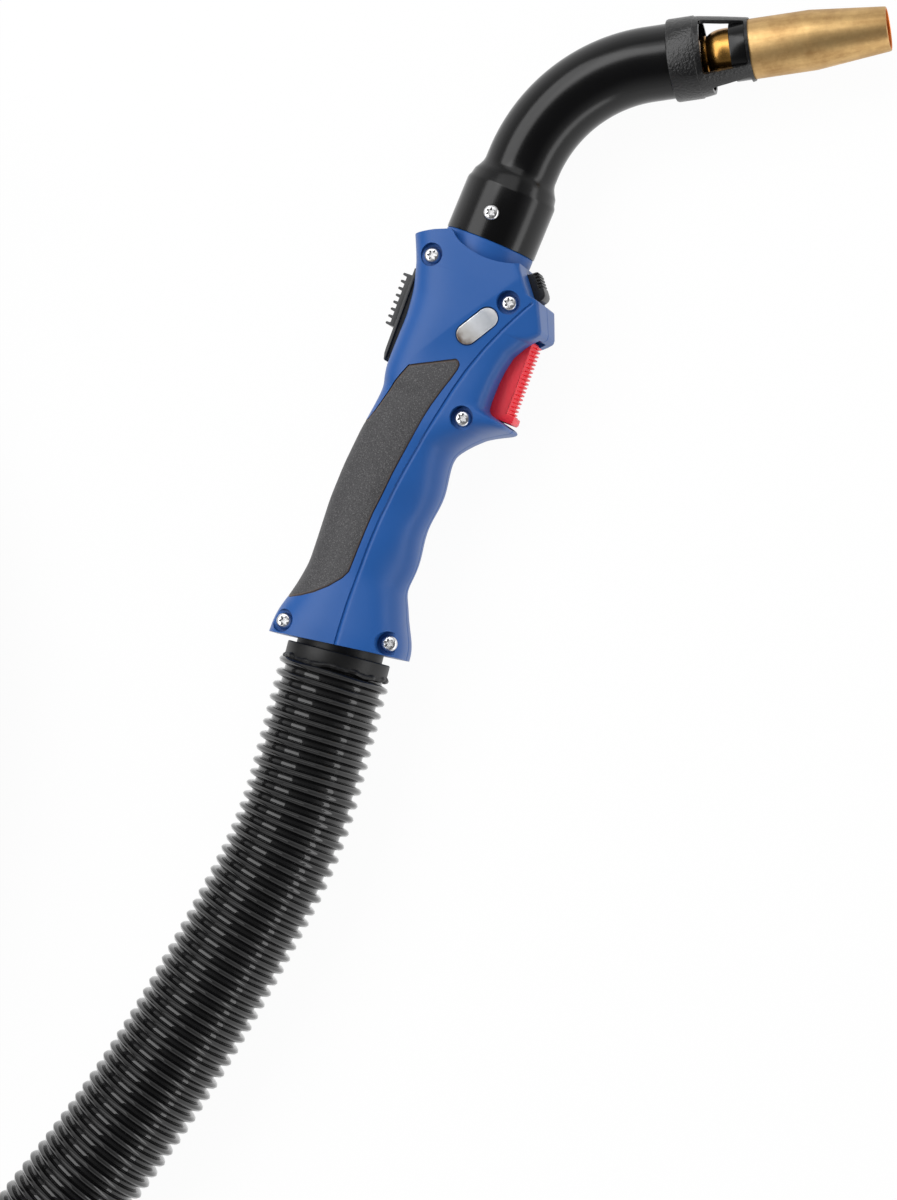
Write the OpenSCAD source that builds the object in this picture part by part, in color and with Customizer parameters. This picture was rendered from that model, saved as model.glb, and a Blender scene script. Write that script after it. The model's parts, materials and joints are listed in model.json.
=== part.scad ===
// Fume-extraction MIG welding torch lying on its side: handle, swan neck, extraction nozzle,
// ribbed extraction hose and its machine-side connection. Millimetres, +Z up, handle along +Y.

/* [Handle] */
// Half the thickness of the handle at its base
handle_half = 23.6; // [23.4:0.1:28]
// Wall of the two moulded shells
wall = 2.6; // [2:0.1:3.2]
// Radius of the handle screws' heads
screw_head_r = 3.25; // [2.8:0.05:3.6]

/* [Neck] */
// Bend radius of the swan neck at its centre line
bend_r = 63; // [55:1:80]
// Angle that the swan neck turns
bend_deg = 60.8; // [35:0.2:75]
// Outside radius of the neck shroud
shroud_r = 15; // [14:0.1:16]

/* [Gas nozzle] */
// Outside radius of the gas nozzle's barrel
nozzle_r = 12; // [11.6:0.1:12.4]
// Outside radius of the gas nozzle at its mouth
mouth_r = 8.9; // [8.6:0.1:10]
// Length of the gas nozzle in front of its insulator
nozzle_len = 59.5; // [50:0.5:75]
// Depth of the contact tip behind the mouth
tip_recess = 6; // [5:0.5:9]

/* [Trigger] */
// Number of teeth on the trigger's face
trigger_teeth = 18; // [10:1:20]
// Swing of the trigger in degrees
trigger_swing = 7; // [3:0.5:8]

/* [Hose] */
// Radius of the hose over its ribs
hose_r = 22.8; // [21.6:0.1:23.2]
// Height of a rib above the hose's wall
rib_h = 2.8; // [1.5:0.1:3]
// Distance from rib to rib
rib_pitch = 5.3; // [5:0.1:8]

/* [Hidden] */

$fn = 64;
eps = 0.01;
clear = 0.3;        // between pieces that move past each other
slack = 0.1;        // between a slide and its guide
fit = 0.05;         // radial, round a shaft or a spigot
far = 400;          // longer than anything that is cut

// ---- where the torch lies: its own box is centred on the origin and stands on z = 0
shift = [-49.45, -150.77, handle_half];
module at_rest() { translate(shift) children(); }

// ---- handle outline, seen from the side: x against y, by straight stretches between points
base_tilt = 7.9;    // the base face leans towards the trigger side
base_at = [0, 0.6];
grip_wave = [17.6, 0.85, 40, 30];   // mean x, swell, y of a swell, distance between swells
function wave(y) = grip_wave[0] + grip_wave[1] * cos(360 * (y - grip_wave[2]) / grip_wave[3]);
front_line = concat(
    [[-8, 27], [5, 27.2], [8, 27], [12, 25.6], [16, 23.5], [20, 21.5], [25, 19.6]],
    [for (y = [30:5:85]) [y, wave(y)]],
    [[90, 18.6], [94, 21.7], [98, 26], [101, 31], [103.4, 35.4], [104.6, 36.2], [105.8, 34.8], [106.6, 31],
     [108, 24.5], [111, 23.4], [120, 23.9], [127, 25], [133, 26.5], [137, 28.2], [139.5, 31],
     [141.6, 34.6], [143.6, 36.6], [145.2, 36.5], [156, 31.8], [156.5, 27.8], [165, 21.2], [168, 19.6],
     [173.4, 18.6]]);
back_line = [[-8, -28], [3, -28.1], [8, -27.3], [14, -25.4], [20, -24], [28, -22.8], [40, -23.2],
    [55, -23.8], [70, -23.2], [86, -21.4], [98, -19], [104, -18.2], [112, -19.8], [122, -19.4],
    [134, -18.8], [145, -19.9], [156, -22.8], [164, -26.2], [168, -28.2], [170.5, -24], [173.4, -16.5]];
half_line = [[-8, handle_half], [5, handle_half], [14, handle_half - 1.4], [30, handle_half - 3.8],
    [55, handle_half - 4.3], [86, handle_half - 3.8], [108, handle_half - 2.4], [130, handle_half - 1.6],
    [156, handle_half - 1.6], [163, handle_half - 3], [166, 18.2], [169, 15.4], [171, 12], [173.4, 7]];
square_line = [[0, 3], [30, 2.5], [88, 2.5], [108, 3.4], [173, 3.8]];
function front_x(y) = lookup(y, front_line);
function back_x(y) = lookup(y, back_line);
function half_z(y) = lookup(y, half_line);
handle_ys = [for (p = front_line) p[0]];
arc_n = 12;
room_n = 12;

// A rounded-square section through x = xb and xf, as n + 1 points over the angles from 0 to turn
function section(y, xb, xf, rz, power, n, turn) = [for (i = [0:n])
    let (a = turn * i / n, c = cos(a), s = sin(a))
    [(xb + xf) / 2 + (xf - xb) / 2 * sign(c) * pow(abs(c), power), y, rz * sign(s) * pow(abs(s), power)]];
// Half a section of the handle, from its front edge over the side that faces up to its back edge
function handle_ring(y) =
    section(y, back_x(y), front_x(y), half_z(y), 2 / lookup(y, square_line), arc_n, 180);

// A closed solid through rings of n points each
function ring_faces(count, n) = concat(
    [[for (j = [n - 1:-1:0]) j]],
    [for (i = [0:count - 2], j = [0:n - 1]) [i * n + j, (i + 1) * n + (j + 1) % n, (i + 1) * n + j]],
    [for (i = [0:count - 2], j = [0:n - 1]) [i * n + j, i * n + (j + 1) % n, (i + 1) * n + (j + 1) % n]],
    [[for (j = [0:n - 1]) (count - 1) * n + j]]);
module loft(rings) {
    n = len(rings[0]);
    polyhedron([for (r = rings) each r], ring_faces(len(rings), n), convexity = 6);
}
module upper_body() { loft([for (y = handle_ys) handle_ring(y)]); }
module half_body(side) {
    if (side > 0) upper_body();
    else mirror([0, 0, 1]) upper_body();
}

// A coarser body inside the shells: the room in them, or the floor that the grip pads lie on
function room_ring(y, xb, xf, rz) =
    let (ring = section(y, xb, xf, rz, 0.72, room_n, 360)) [for (i = [0:room_n - 1]) ring[i]];
cavity_front = [[14, 17], [28, 15], [55, 13.2], [86, 13.6], [104, 17], [112, 20.3], [134, 21.5],
    [150, 19.5], [158, 15.5]];
skin = 1.4;         // the chords of the room's coarse section lie this much inside the wall
module cavity() {
    loft([for (p = cavity_front)
        room_ring(p[0], back_x(p[0]) + wall + skin, p[1],
            min(half_z(p[0]), handle_half - 2.2) - wall - skin)]);
}
pad_depth = 1.2;
floor_ys = [-9, 6, 20, 34, 55, 74, 88, 103, 128, 158];
module pad_floor() {
    loft([for (y = floor_ys)
        room_ring(y, back_x(y) + pad_depth, min(front_x(y), 30) - pad_depth, half_z(y) - pad_depth)]);
}

// ---- local frames
hose_exit = [0.35, -1.05];      // middle of the cuff at the handle's base
hose_heading = -84.5;           // direction in which the hose leaves, degrees from +X
module hose_exit_frame() {
    translate([hose_exit[0], hose_exit[1], 0]) rotate([0, 0, hose_heading]) rotate([0, 90, 0]) children();
}
neck_at = [1.32, 172.4];        // middle of the shroud's socket at its open end
neck_lean = 2.5;
socket_len = 22;
shoulder_len = 9;
arc_s = 34.8;                   // straight length before the bend
module neck_frame() { translate([neck_at[0], neck_at[1], 0]) rotate([0, 0, -neck_lean]) children(); }
module nozzle_frame() {
    neck_frame() translate([bend_r, arc_s, 0]) rotate([0, 0, -bend_deg])
        translate([-bend_r, 0, 0]) children();
}
// A body of revolution about local +Y from points [radius, y]
module turned(points) { rotate([-90, 0, 0]) rotate_extrude() polygon(points); }
module rod(r, from, to) { translate([0, from, 0]) rotate([-90, 0, 0]) cylinder(r = r, h = to - from); }
// A round bar along the neck's path. The bend is thinner by a hair and reaches into both straight parts
lap = 0.6;
hair = 0.05;
module neck_bar(r, from, to, straight = true) {
    if (straight) neck_frame() rod(r, from, arc_s + lap);
    neck_frame() translate([bend_r, arc_s, 0]) rotate([0, 0, 180 - bend_deg])
        rotate_extrude(angle = bend_deg) translate([bend_r, 0]) circle(r = r - hair);
    nozzle_frame() rod(r, -lap, to);
}

// ---- screws of the handle: x, y and the height of the head's seat
handle_screw_at = [[-15, 159.3, 17], [21.2, 151.3, 17.6], [19.2, 102.3, 16.8], [-21.4, 2.8, 14.6],
    [21.7, 8.6, 13.6]];
screw_head_h = 2;
screw_shaft_r = 1.9;
screw_pocket_r = screw_head_r + 1.15;
screw_foot = -12;
boss_r = 4.4;

module screw(head_r, head_h, shaft_r, shaft_len) {
    difference() {
        union() {
            intersection() {
                cylinder(r = head_r, h = head_h);
                translate([0, 0, head_h - 2.2 * head_r]) sphere(r = 2.2 * head_r);
            }
            translate([0, 0, -shaft_len]) cylinder(r = shaft_r, h = shaft_len + eps);
        }
        translate([0, 0, head_h - 1.3])
            for (a = [0, 60, 120]) rotate([0, 0, a])
                translate([-0.62 * head_r, -0.14 * head_r, 0]) cube([1.24 * head_r, 0.28 * head_r, 3]);
    }
}

module handle_screws() {
    color("silver") at_rest() for (p = handle_screw_at)
        translate([p[0], p[1], p[2]]) screw(screw_head_r, screw_head_h, screw_shaft_r, p[2] - screw_foot);
}

// ---- openings that both shells leave for the other pieces
trigger_half = 6.5;
trigger_slot = [[12, 105.2], [60, 142]];      // low and high corner in x, y
pivot = [25, 136.4];
pivot_r = 1.5;
pin_half = 11;
button_origin = [20, 166];
button_dir = -52.7;             // the slope that the lock button stands on
module button_frame() {
    translate([button_origin[0], button_origin[1], 0]) rotate([0, 0, button_dir]) children();
}
button_from = 1.4;
button_to = 13.2;
button_half = 5.4;
button_rise = 4.6;
button_sink = 2.4;
button_travel = 1.8;
bezel_y = [114, 153];
bezel_half = 8;
bezel_x = [-22.6, -21.2];
bezel_lip = 1.5;
frame_depth = 5;
collar_r = 18.4;
collar_deep = 7.4;
duct_r = 13;                    // way for the fume from the neck into the handle
duct_deep = 20;
cuff_r = 21.3;
cuff_spigot_r = 18.4;
cuff_in = 2.6;
cuff_deep = 14;

module box(low, high) { translate(low) cube(high - low); }
module handle_openings() {
    box([trigger_slot[0][0], trigger_slot[0][1], -trigger_half - clear],
        [trigger_slot[1][0], trigger_slot[1][1], trigger_half + clear]);
    button_frame() box([button_from - clear, -button_sink - button_travel - 0.8, -button_half - clear],
        [button_to + clear, 9, button_half + clear]);
    button_frame() box([0.2, 0.2, -far], [13.4, 9, far]);
    box([-60, bezel_y[0] + bezel_lip, -bezel_half + 1],
        [bezel_x[1] + frame_depth, bezel_y[1] - bezel_lip, bezel_half - 1]);
    box([-60, tongue_y[0] - slide_travel - clear, -tongue_half - clear],
        [bezel_x[1] + tongue_depth + 0.8, tongue_y[1] + clear, tongue_half + clear]);
    box([-60, bezel_y[0], -bezel_half], [bezel_x[1], bezel_y[1], bezel_half]);
    neck_frame() rod(collar_r + fit, -collar_deep, 60);
    neck_frame() rod(duct_r, -duct_deep, 0);
    hose_exit_frame() translate([0, 0, -cuff_in]) cylinder(r = cuff_r + fit, h = 60);
    hose_exit_frame() translate([0, 0, -cuff_deep]) cylinder(r = cuff_spigot_r + fit, h = 60);
    hose_exit_frame() translate([0, 0, -cuff_deep - 4]) cylinder(r = cuff_spigot_r - 2.4, h = 60);
    translate([pivot[0], pivot[1], -pin_half]) cylinder(r = pivot_r + fit, h = 2 * pin_half);
}
// What lies outside the slanted base face
module below_base() {
    translate([base_at[0], base_at[1], 0]) rotate([0, 0, base_tilt]) box([-far, -far, -far], [far, 0, far]);
}

// Grip pad outline on the near side, as true x and y
pad_outline = [
    [-60, 12], [-23, 12.6], [-18, 14.6], [-13, 17.6], [-8, 21.8], [-4, 26.6], [-2.4, 30], [-2.2, 40],
    [-1.6, 55], [0.4, 72], [2.6, 86], [4.6, 97], [7, 106], [10, 115], [11.4, 121], [10.9, 123], [9, 123.6],
    [-8.4, 115], [-12, 106.5], [-15, 98], [-60, 94]];
module pad_prism() { translate([0, 0, -60]) linear_extrude(120) polygon(pad_outline); }
groove_line = [[4, -6], [2.6, 6], [1.6, 18], [1.2, 30], [1.2, 42], [1.6, 54], [2.8, 66], [4.8, 78], [7, 90],
    [9.4, 100], [12, 111], [14.6, 121], [18, 131], [22.4, 141], [27.6, 150.6], [31.5, 156.5]];
groove_w = 0.7;
module groove_prism() {
    translate([0, 0, -60]) linear_extrude(120) polygon(concat(
        [for (p = groove_line) [p[0] - groove_w / 2, p[1]]],
        [for (i = [len(groove_line) - 1:-1:0]) [groove_line[i][0] + groove_w / 2, groove_line[i][1]]]));
}

module handle_shell(side) {
    difference() {
        half_body(side);
        below_base();
        difference() {
            cavity();
            for (p = handle_screw_at) translate([p[0], p[1], -far]) cylinder(r = boss_r, h = 2 * far);
        }
        difference() {
            union() {
                pad_prism();
                groove_prism();
            }
            pad_floor();
        }
        handle_openings();
        for (p = handle_screw_at) translate([p[0], p[1], side > 0 ? 0 : screw_foot])
            cylinder(r = screw_shaft_r + (side > 0 ? fit : 0), h = far);
        if (side > 0) for (p = handle_screw_at) translate(p) cylinder(r = screw_pocket_r, h = far);
        badge_seat();
    }
}
module handle_shell_near() { color("royalblue") at_rest() handle_shell(1); }
module handle_shell_far() { color("royalblue") at_rest() handle_shell(-1); }

module grip_pad(side) {
    difference() {
        intersection() {
            half_body(side);
            pad_prism();
        }
        pad_floor();
    }
}
module grip_pad_near() { color("dimgray") at_rest() grip_pad(1); }
module grip_pad_far() { color("dimgray") at_rest() grip_pad(-1); }

// ---- domed badge without any marking
badge_at = [12.4, 138.4];
badge_turn = 58;
badge_size = [18.6, 8.2];
badge_z = 19.4;
badge_tilt = 9;
module badge_blank(grow, h) {
    straight = badge_size[0] - badge_size[1];
    translate([badge_at[0], badge_at[1], badge_z]) rotate([0, badge_tilt, 0]) rotate([0, 0, badge_turn])
        linear_extrude(h) {
            square([straight, badge_size[1] + 2 * grow], center = true);
            for (s = [-1, 1]) translate([s * straight / 2, 0]) circle(r = badge_size[1] / 2 + grow);
        }
}
module badge_seat() { badge_blank(fit, 12); }
module badge() { color("lightgray") at_rest() badge_blank(0, 2.3); }

// ---- trigger
trigger_x = 33.6;
trigger_y = [106.9, 140.9];
tooth_h = 1.3;
teeth_y = [110.4, 140.2];
tooth_pitch = (teeth_y[1] - teeth_y[0]) / trigger_teeth;
module trigger() {
    color("red") at_rest() difference() {
        translate([0, 0, -trigger_half]) linear_extrude(2 * trigger_half) polygon(concat(
            [[22.6, 108.6], [24.6, 107.2], [trigger_x, trigger_y[0]], [trigger_x + 2.4, trigger_y[0]],
             [trigger_x + 2.4, teeth_y[0] - 0.4], [trigger_x, teeth_y[0]]],
            [for (i = [0:trigger_teeth - 1], q = [[0.45, tooth_h], [0.75, tooth_h], [1, 0]])
                [trigger_x + q[1], teeth_y[0] + (i + q[0]) * tooth_pitch]],
            [[31.4, trigger_y[1]], [23.4, trigger_y[1]], [21.6, 138], [21.2, 128]]));
        translate([pivot[0], pivot[1], -far]) cylinder(r = pivot_r + fit, h = 2 * far);
        // lightened behind
        box([0, 112, -trigger_half + 1.6], [29.8, 131, trigger_half - 1.6]);
    }
    // the finger that presses the switch at the end of the swing
    reach = switch_box[1][0] + plunger_h + (pivot[1] - switch_at) * tan(trigger_swing) + clear;
    color("red") at_rest() box([reach, switch_at - 1, -1.5], [31, switch_at + 1, 1.5]);
}
module trigger_pin() {
    color("silver") at_rest() translate([pivot[0], pivot[1], 0.1 - pin_half])
        cylinder(r = pivot_r, h = 2 * pin_half - 0.2);
}

switch_at = 121.4;
plunger_h = 1.3;
switch_box = [[8, switch_at - 8.8, -3.2], [14.2, switch_at + 11, 3.2]];
switch_holes = [switch_at - 4.4, switch_at + 6.2];
module microswitch() {
    color("black") at_rest() {
        box(switch_box[0], switch_box[1]);
        translate([switch_box[1][0] - eps, switch_at, 0]) rotate([0, 90, 0])
            cylinder(r = 1.2, h = plunger_h + eps);
        // posts that carry it in the far shell
        for (y = switch_holes) translate([10.6, y, -half_z(y) + wall]) cylinder(r = 1.2, h = half_z(y));
    }
}

// ---- push button on the front slope
module lock_button() {
    color("black") at_rest() button_frame() difference() {
        translate([0, 0, -button_half]) linear_extrude(2 * button_half) polygon([
            [button_from, -button_sink], [button_from, 2.6], [button_from + 0.8, button_rise],
            [button_from + 6.6, button_rise + 0.3], [button_to - 2, button_rise + 0.2],
            [button_to - 0.5, button_rise - 0.8], [button_to, 2.4], [button_to, -button_sink]]);
        for (i = [0:4]) translate([button_from + 1.6 + 1.25 * i, button_rise + 0.3, 0]) rotate([0, 28, 0])
            box([-0.3, -0.7, -far], [0.3, 4, far]);
    }
}

// ---- air bypass: bezel, and the slide in it
slide_y = [bezel_y[0] + 14.3, bezel_y[1] - 3.1];
slide_half = 6.2;
slide_back = -25;
slide_teeth = 8;
slide_tooth = [1.6, 1];         // height, width
slide_pitch = (slide_y[1] - slide_y[0] - slide_tooth[1]) / (slide_teeth - 1);
slide_travel = 9;
tongue_y = [slide_y[0] + 4.3, slide_y[1] - 0.7];
tongue_half = 3.6;
tongue_depth = 6.2;
module bypass_bezel() {
    color("black") at_rest() difference() {
        union() {
            translate([0, 0, -bezel_half]) linear_extrude(2 * bezel_half) polygon([
                [bezel_x[1], bezel_y[0] + fit], [bezel_x[0] + 0.9, bezel_y[0] + 2],
                [bezel_x[0], bezel_y[0] + 4.6], [bezel_x[0], bezel_y[1] - fit],
                [bezel_x[1], bezel_y[1] - fit]]);
            box([bezel_x[1] - eps, bezel_y[0] + bezel_lip + fit, -bezel_half + 1 + fit],
                [bezel_x[1] + frame_depth - fit, bezel_y[1] - bezel_lip - fit, bezel_half - 1 - fit]);
        }
        box([-60, tongue_y[0] - slide_travel - clear, -tongue_half - slack],
            [0, tongue_y[1] + clear, tongue_half + slack]);
    }
}
module bypass_slide() {
    color("black") at_rest() {
        under = bezel_x[0] - slack;
        box([slide_back, slide_y[0], -slide_half], [under, slide_y[1], slide_half]);
        for (i = [0:slide_teeth - 1])
            translate([slide_back, slide_y[0] + i * slide_pitch, 0])
                box([-slide_tooth[0], 0, -slide_half], [eps, slide_tooth[1], slide_half]);
        box([under - eps, tongue_y[0], -tongue_half], [bezel_x[1] + tongue_depth, tongue_y[1], tongue_half]);
    }
}

// ---- neck
neck_tube_r = 7;
liner_r = 2.3;
shroud_wall = 1.6;
socket_r = 18.65;
spigot_r = 16.6;
collar_up = 12;
module neck_collar() {
    color("royalblue") at_rest() neck_frame() difference() {
        union() {
            rod(collar_r, -collar_deep, 0);
            rod(spigot_r, -eps, collar_up);
        }
        rod(neck_tube_r + fit, -far, far);
        // air passages from the neck into the handle
        for (i = [0:5]) rotate([0, 60 * i + 30, 0]) translate([0, 0, 11.2]) rod(2.9, -far, far);
    }
}
nozzle_tube_end = 17;          // shroud's end, inside the extraction nozzle's collar
module neck_shroud() {
    color([0.1, 0.1, 0.1]) at_rest() difference() {
        union() {
            neck_frame() turned([[0, 0], [socket_r, 0], [socket_r, socket_len],
                [socket_r - 0.7, socket_len + 2],
                [shroud_r + 1, socket_len + 6.4], [shroud_r, socket_len + shoulder_len],
                [shroud_r, arc_s + lap], [0, arc_s + lap]]);
            neck_bar(shroud_r, 0, nozzle_tube_end, false);
        }
        neck_frame() turned([[0, -1], [spigot_r + fit, -1], [spigot_r + fit, socket_len - 2],
            [shroud_r - shroud_wall, socket_len + shoulder_len - 3],
            [shroud_r - shroud_wall, arc_s + lap], [0, arc_s + lap]]);
        neck_bar(shroud_r - shroud_wall, 0, far, false);
        for (a = [0, 180]) neck_frame() rotate([0, a, 0]) translate([0, shroud_screw_s, 0]) {
            cylinder(r = shroud_screw_r + fit, h = far);
            translate([0, 0, shroud_seat]) cylinder(r = shroud_head_r + fit, h = far);
        }
    }
}
shroud_screw_s = 10.4;
shroud_screw_r = 1.6;
shroud_head_r = screw_head_r - 0.15;
shroud_seat = socket_r - 0.45;
module shroud_screws() {
    color("silver") at_rest() for (a = [0, 180])
        neck_frame() rotate([0, a, 0]) translate([0, shroud_screw_s, shroud_seat])
            screw(shroud_head_r, 1.9, shroud_screw_r, 4);
}
neck_in = 46;                   // how far the inner neck reaches into the handle
nut_len = 16;
seat_from = 20.6;              // the nozzle seat's rear end, along the nozzle axis
module inner_neck() {
    color("goldenrod") at_rest() difference() {
        neck_bar(neck_tube_r, -neck_in, seat_from);
        neck_bar(liner_r + fit, -60, far);
    }
}
module wire_liner() {
    color("gray") at_rest() difference() {
        neck_bar(liner_r, -neck_in - nut_len - 18, fume_at + holder_from);
        neck_bar(0.9, -100, far);
    }
}
module neck_nut() {
    color("goldenrod") at_rest() neck_frame() difference() {
        translate([0, -neck_in - nut_len, 0]) rotate([-90, 30, 0])
            cylinder(r = 9.8, h = nut_len - 0.1, $fn = 6);
        rod(neck_tube_r + fit, -neck_in, far);
        rod(liner_r + fit, -far, far);
    }
}
power_r = 7.6;
power_len = 90;                 // as far as the handle's base
module power_cable() {
    color([0.15, 0.15, 0.15]) at_rest() neck_frame() difference() {
        rod(power_r, -neck_in - nut_len - power_len, -neck_in - nut_len);
        rod(liner_r + fit, -far, far);
    }
}

// ---- nozzle group, along the nozzle axis
fume_at = 9;
fume_len = 30;
fume_r = 16.6;
flange_from = 27.6;
window_from = 12.4;
arm_deg = 26;
arm_at = [85, -35, -155];
module nozzle_group() { nozzle_frame() translate([0, fume_at, 0]) children(); }
module fume_nozzle() {
    color([0.12, 0.12, 0.12]) at_rest() nozzle_group() difference() {
        turned([[shroud_r + fit, 0], [fume_r - 0.7, 0], [fume_r, 1.1], [fume_r, 9.2], [fume_r - 0.4, 9.5],
            [fume_r - 0.4, 9.9], [fume_r, 10.2], [fume_r, 12], [nozzle_r + 1.3, flange_from],
            [nozzle_r + 1, fume_len], [nozzle_r + 0.15, fume_len], [nozzle_r + 0.15, flange_from - 0.4],
            [fume_r - 1.1, window_from], [shroud_r + fit, window_from - 1.4]]);
        for (i = [0:2]) {
            from = arm_at[i] - arm_deg / 2;
            to = arm_at[(i + 1) % 3] + arm_deg / 2;
            span = ((from - to) % 360 + 360) % 360;
            translate([0, window_from, 0]) rotate([-90, 0, 0]) linear_extrude(flange_from - window_from)
                polygon(concat([[0, 0]],
                    [for (k = [0:3]) let (a = from - span * k / 3) [-30 * sin(a), -30 * cos(a)]]));
        }
        // notch in the collar's front edge beside the lower arm
        rotate([0, 62, 0]) translate([0, 12, fume_r]) rotate([-90, 0, 0])
            cylinder(r = 1.3, h = 4, center = true);
    }
}
ring_from = 21.4;
ring_to = 27.5;
module nozzle_seat() {
    color("goldenrod") at_rest() nozzle_group() difference() {
        turned([[0, seat_from - fume_at], [7.6, seat_from - fume_at], [8.1, 12.4], [8.1, 13.2], [7.7, 13.5],
            [8.9, 16], [9.6, 18.8], [9.8, ring_from], [9.8, ring_to], [10.6, ring_to], [10.6, seat_end + 4],
            [7.2, seat_end + 4], [7.2, seat_end], [0, seat_end]]);
        rod(liner_r + fit, -far, far);
        for (i = [0:5]) rotate([0, 60 * i, 0]) translate([0, 0, 5]) rod(0.9, 15, far);
    }
}
module insulator_ring() {
    color([0.12, 0.12, 0.12]) at_rest() nozzle_group()
        turned([[9.8 + fit, ring_from], [nozzle_r - 0.4, ring_from], [nozzle_r, ring_from + 0.5],
            [nozzle_r, ring_to], [9.8 + fit, ring_to]]);
}
nozzle_tip = ring_to + nozzle_len;
module gas_nozzle() {
    color("peru") at_rest() nozzle_group()
        turned([[10.6 + fit, ring_to], [nozzle_r, ring_to], [nozzle_r, nozzle_tip - 29.6],
            [mouth_r, nozzle_tip - 0.4], [mouth_r - 0.3, nozzle_tip], [mouth_r - 0.9, nozzle_tip],
            [mouth_r - 0.9, nozzle_tip - 12], [10.6 + fit, ring_to + 18]]);
}
seat_end = 30;                  // floor of the seat's socket
holder_from = seat_end + 0.1;
module gas_diffuser() {
    color("goldenrod") at_rest() nozzle_group() difference() {
        rod(7.2 - fit, seat_end, 42);
        rod(5 + fit, 0, far);
        for (i = [0:5]) rotate([0, 60 * i, 0]) translate([0, 38, 0]) cylinder(r = 1, h = far);
    }
}
tip_end = nozzle_tip - tip_recess;
module tip_holder() {
    color("goldenrod") at_rest() nozzle_group() difference() {
        union() {
            rod(5, holder_from, 46);
            translate([0, 46 - eps, 0]) rotate([-90, 0, 0]) cylinder(r = 6, h = 8, $fn = 6);
        }
        rod(1, 0, far);
        rod(3, 48, far);
    }
}
module contact_tip() {
    color("sandybrown") at_rest() nozzle_group() difference() {
        turned([[0, 48], [3 - fit, 48], [3 - fit, 54], [4, 54], [4, tip_end - 8], [2.6, tip_end],
            [0, tip_end]]);
        rod(0.6, 0, far);
    }
}

// ---- hose: [length, turn in degrees] of each stretch, one after the other
hose_route = [[53, 0], [45, -13], [60, -3], [80, -8], [36, 0], [228, -71.5], [176, 0]];
hose_len = 3000;                // from the handle to the junction
run_end = length_of(hose_route, len(hose_route));
coil_r = 244;
end_straight = 20;
one_turn = 2 * PI * coil_r;
coil_turns = (hose_len - run_end - end_straight) / one_turn;
coil_route = [[one_turn * coil_turns, -360 * coil_turns], [end_straight, 0]];
whole_route = concat(hose_route, coil_route);
layer_h = 2 * hose_r + 1.2;
cuff_out = 7;                   // where the ribbed tube starts
hose_end = length_of(whole_route, len(whole_route));
function length_of(route, count) = count == 0 ? 0 : route[count - 1][0] + length_of(route, count - 1);
function step(at, length, turn) = let (r = turn == 0 ? 0 : length / (turn * PI / 180), h = at[2])
    turn == 0 ? [at[0] + length * cos(h), at[1] + length * sin(h), h]
    : [at[0] + r * (sin(h + turn) - sin(h)), at[1] - r * (cos(h + turn) - cos(h)), h + turn];
function starts(route, i = 0, at = [hose_exit[0], hose_exit[1], hose_heading]) =
    i == len(route) ? [at] : concat([at], starts(route, i + 1, step(at, route[i][0], route[i][1])));
route_starts = starts(whole_route);
function stretch(s, i = 0) =
    i == len(whole_route) - 1 || s <= whole_route[i][0] ? [i, s] : stretch(s - whole_route[i][0], i + 1);
function flat_pose(s) = let (k = stretch(s), part = whole_route[k[0]])
    step(route_starts[k[0]], k[1], part[1] * k[1] / part[0]);
// Height: the first turn lies flat, and climbs over the stretch that comes in while it closes
climb = [run_end + 0.6 * one_turn, run_end + 0.97 * one_turn];
function ease(t) = let (c = max(0, min(1, t))) c * c * (3 - 2 * c);
function height(s) = layer_h * ease((s - climb[0]) / (climb[1] - climb[0]));
function hose_point(s) = let (p = flat_pose(s)) [p[0], p[1], height(s)];

// One ring of the tube at length s
function tube_ring(s, r, n) = let (p = flat_pose(s), nx = -sin(p[2]), ny = cos(p[2]), z = height(s))
    [for (j = [0:n - 1]) let (a = 360 * (j + 0.5) / n)
        [p[0] + r * cos(a) * nx, p[1] + r * cos(a) * ny, z + r * sin(a)]];
// A tube between outer and inner rings, both of n points
module tube(outer, inner) {
    n = len(outer[0]);
    no = len(outer);
    ni = len(inner);
    points = concat([for (r = outer) each r], [for (r = inner) each r]);
    skin = [for (i = [0:no - 2], j = [0:n - 1], t = [0, 1]) let (a = i * n + j, b = i * n + (j + 1) % n)
        t == 0 ? [a, a + n, b + n] : [a, b + n, b]];
    bore = [for (i = [0:ni - 2], j = [0:n - 1], t = [0, 1])
        let (o = no * n, a = o + i * n + j, b = o + i * n + (j + 1) % n)
        t == 0 ? [a, b + n, a + n] : [a, b, b + n]];
    near = [for (j = [0:n - 1], t = [0, 1]) let (a = j, b = (j + 1) % n, o = no * n)
        t == 0 ? [a, b, o + b] : [a, o + b, o + a]];
    ends = [for (j = [0:n - 1], t = [0, 1]) let (a = (no - 1) * n + j, b = (no - 1) * n + (j + 1) % n,
        c = no * n + (ni - 1) * n + j, d = no * n + (ni - 1) * n + (j + 1) % n)
        t == 0 ? [a, d, b] : [a, c, d]];
    polyhedron(points, concat(skin, bore, near, ends), convexity = 8);
}
wall_r = hose_r - rib_h;
hose_wall = 1.4;
bore_r = wall_r - hose_wall;
rib_sides = 8;
bore_rings = 24;
rib_count = floor((run_end - cuff_out) / rib_pitch) - 1;
rib_step = (run_end - cuff_out) / (rib_count + 0.5);
module hose_run() {
    outer = concat([tube_ring(cuff_out, wall_r, rib_sides)],
        [for (i = [0:rib_count - 1], t = [0, 1])
            tube_ring(cuff_out + (i + (t == 0 ? 0.5 : 1)) * rib_step, t == 0 ? hose_r : wall_r, rib_sides)],
        [tube_ring(run_end, wall_r, rib_sides)]);
    inner = [for (k = [0:bore_rings])
        tube_ring(cuff_out + (run_end - cuff_out) * k / bore_rings, bore_r, rib_sides)];
    color([0.1, 0.1, 0.1]) at_rest() tube(outer, inner);
}
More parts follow.
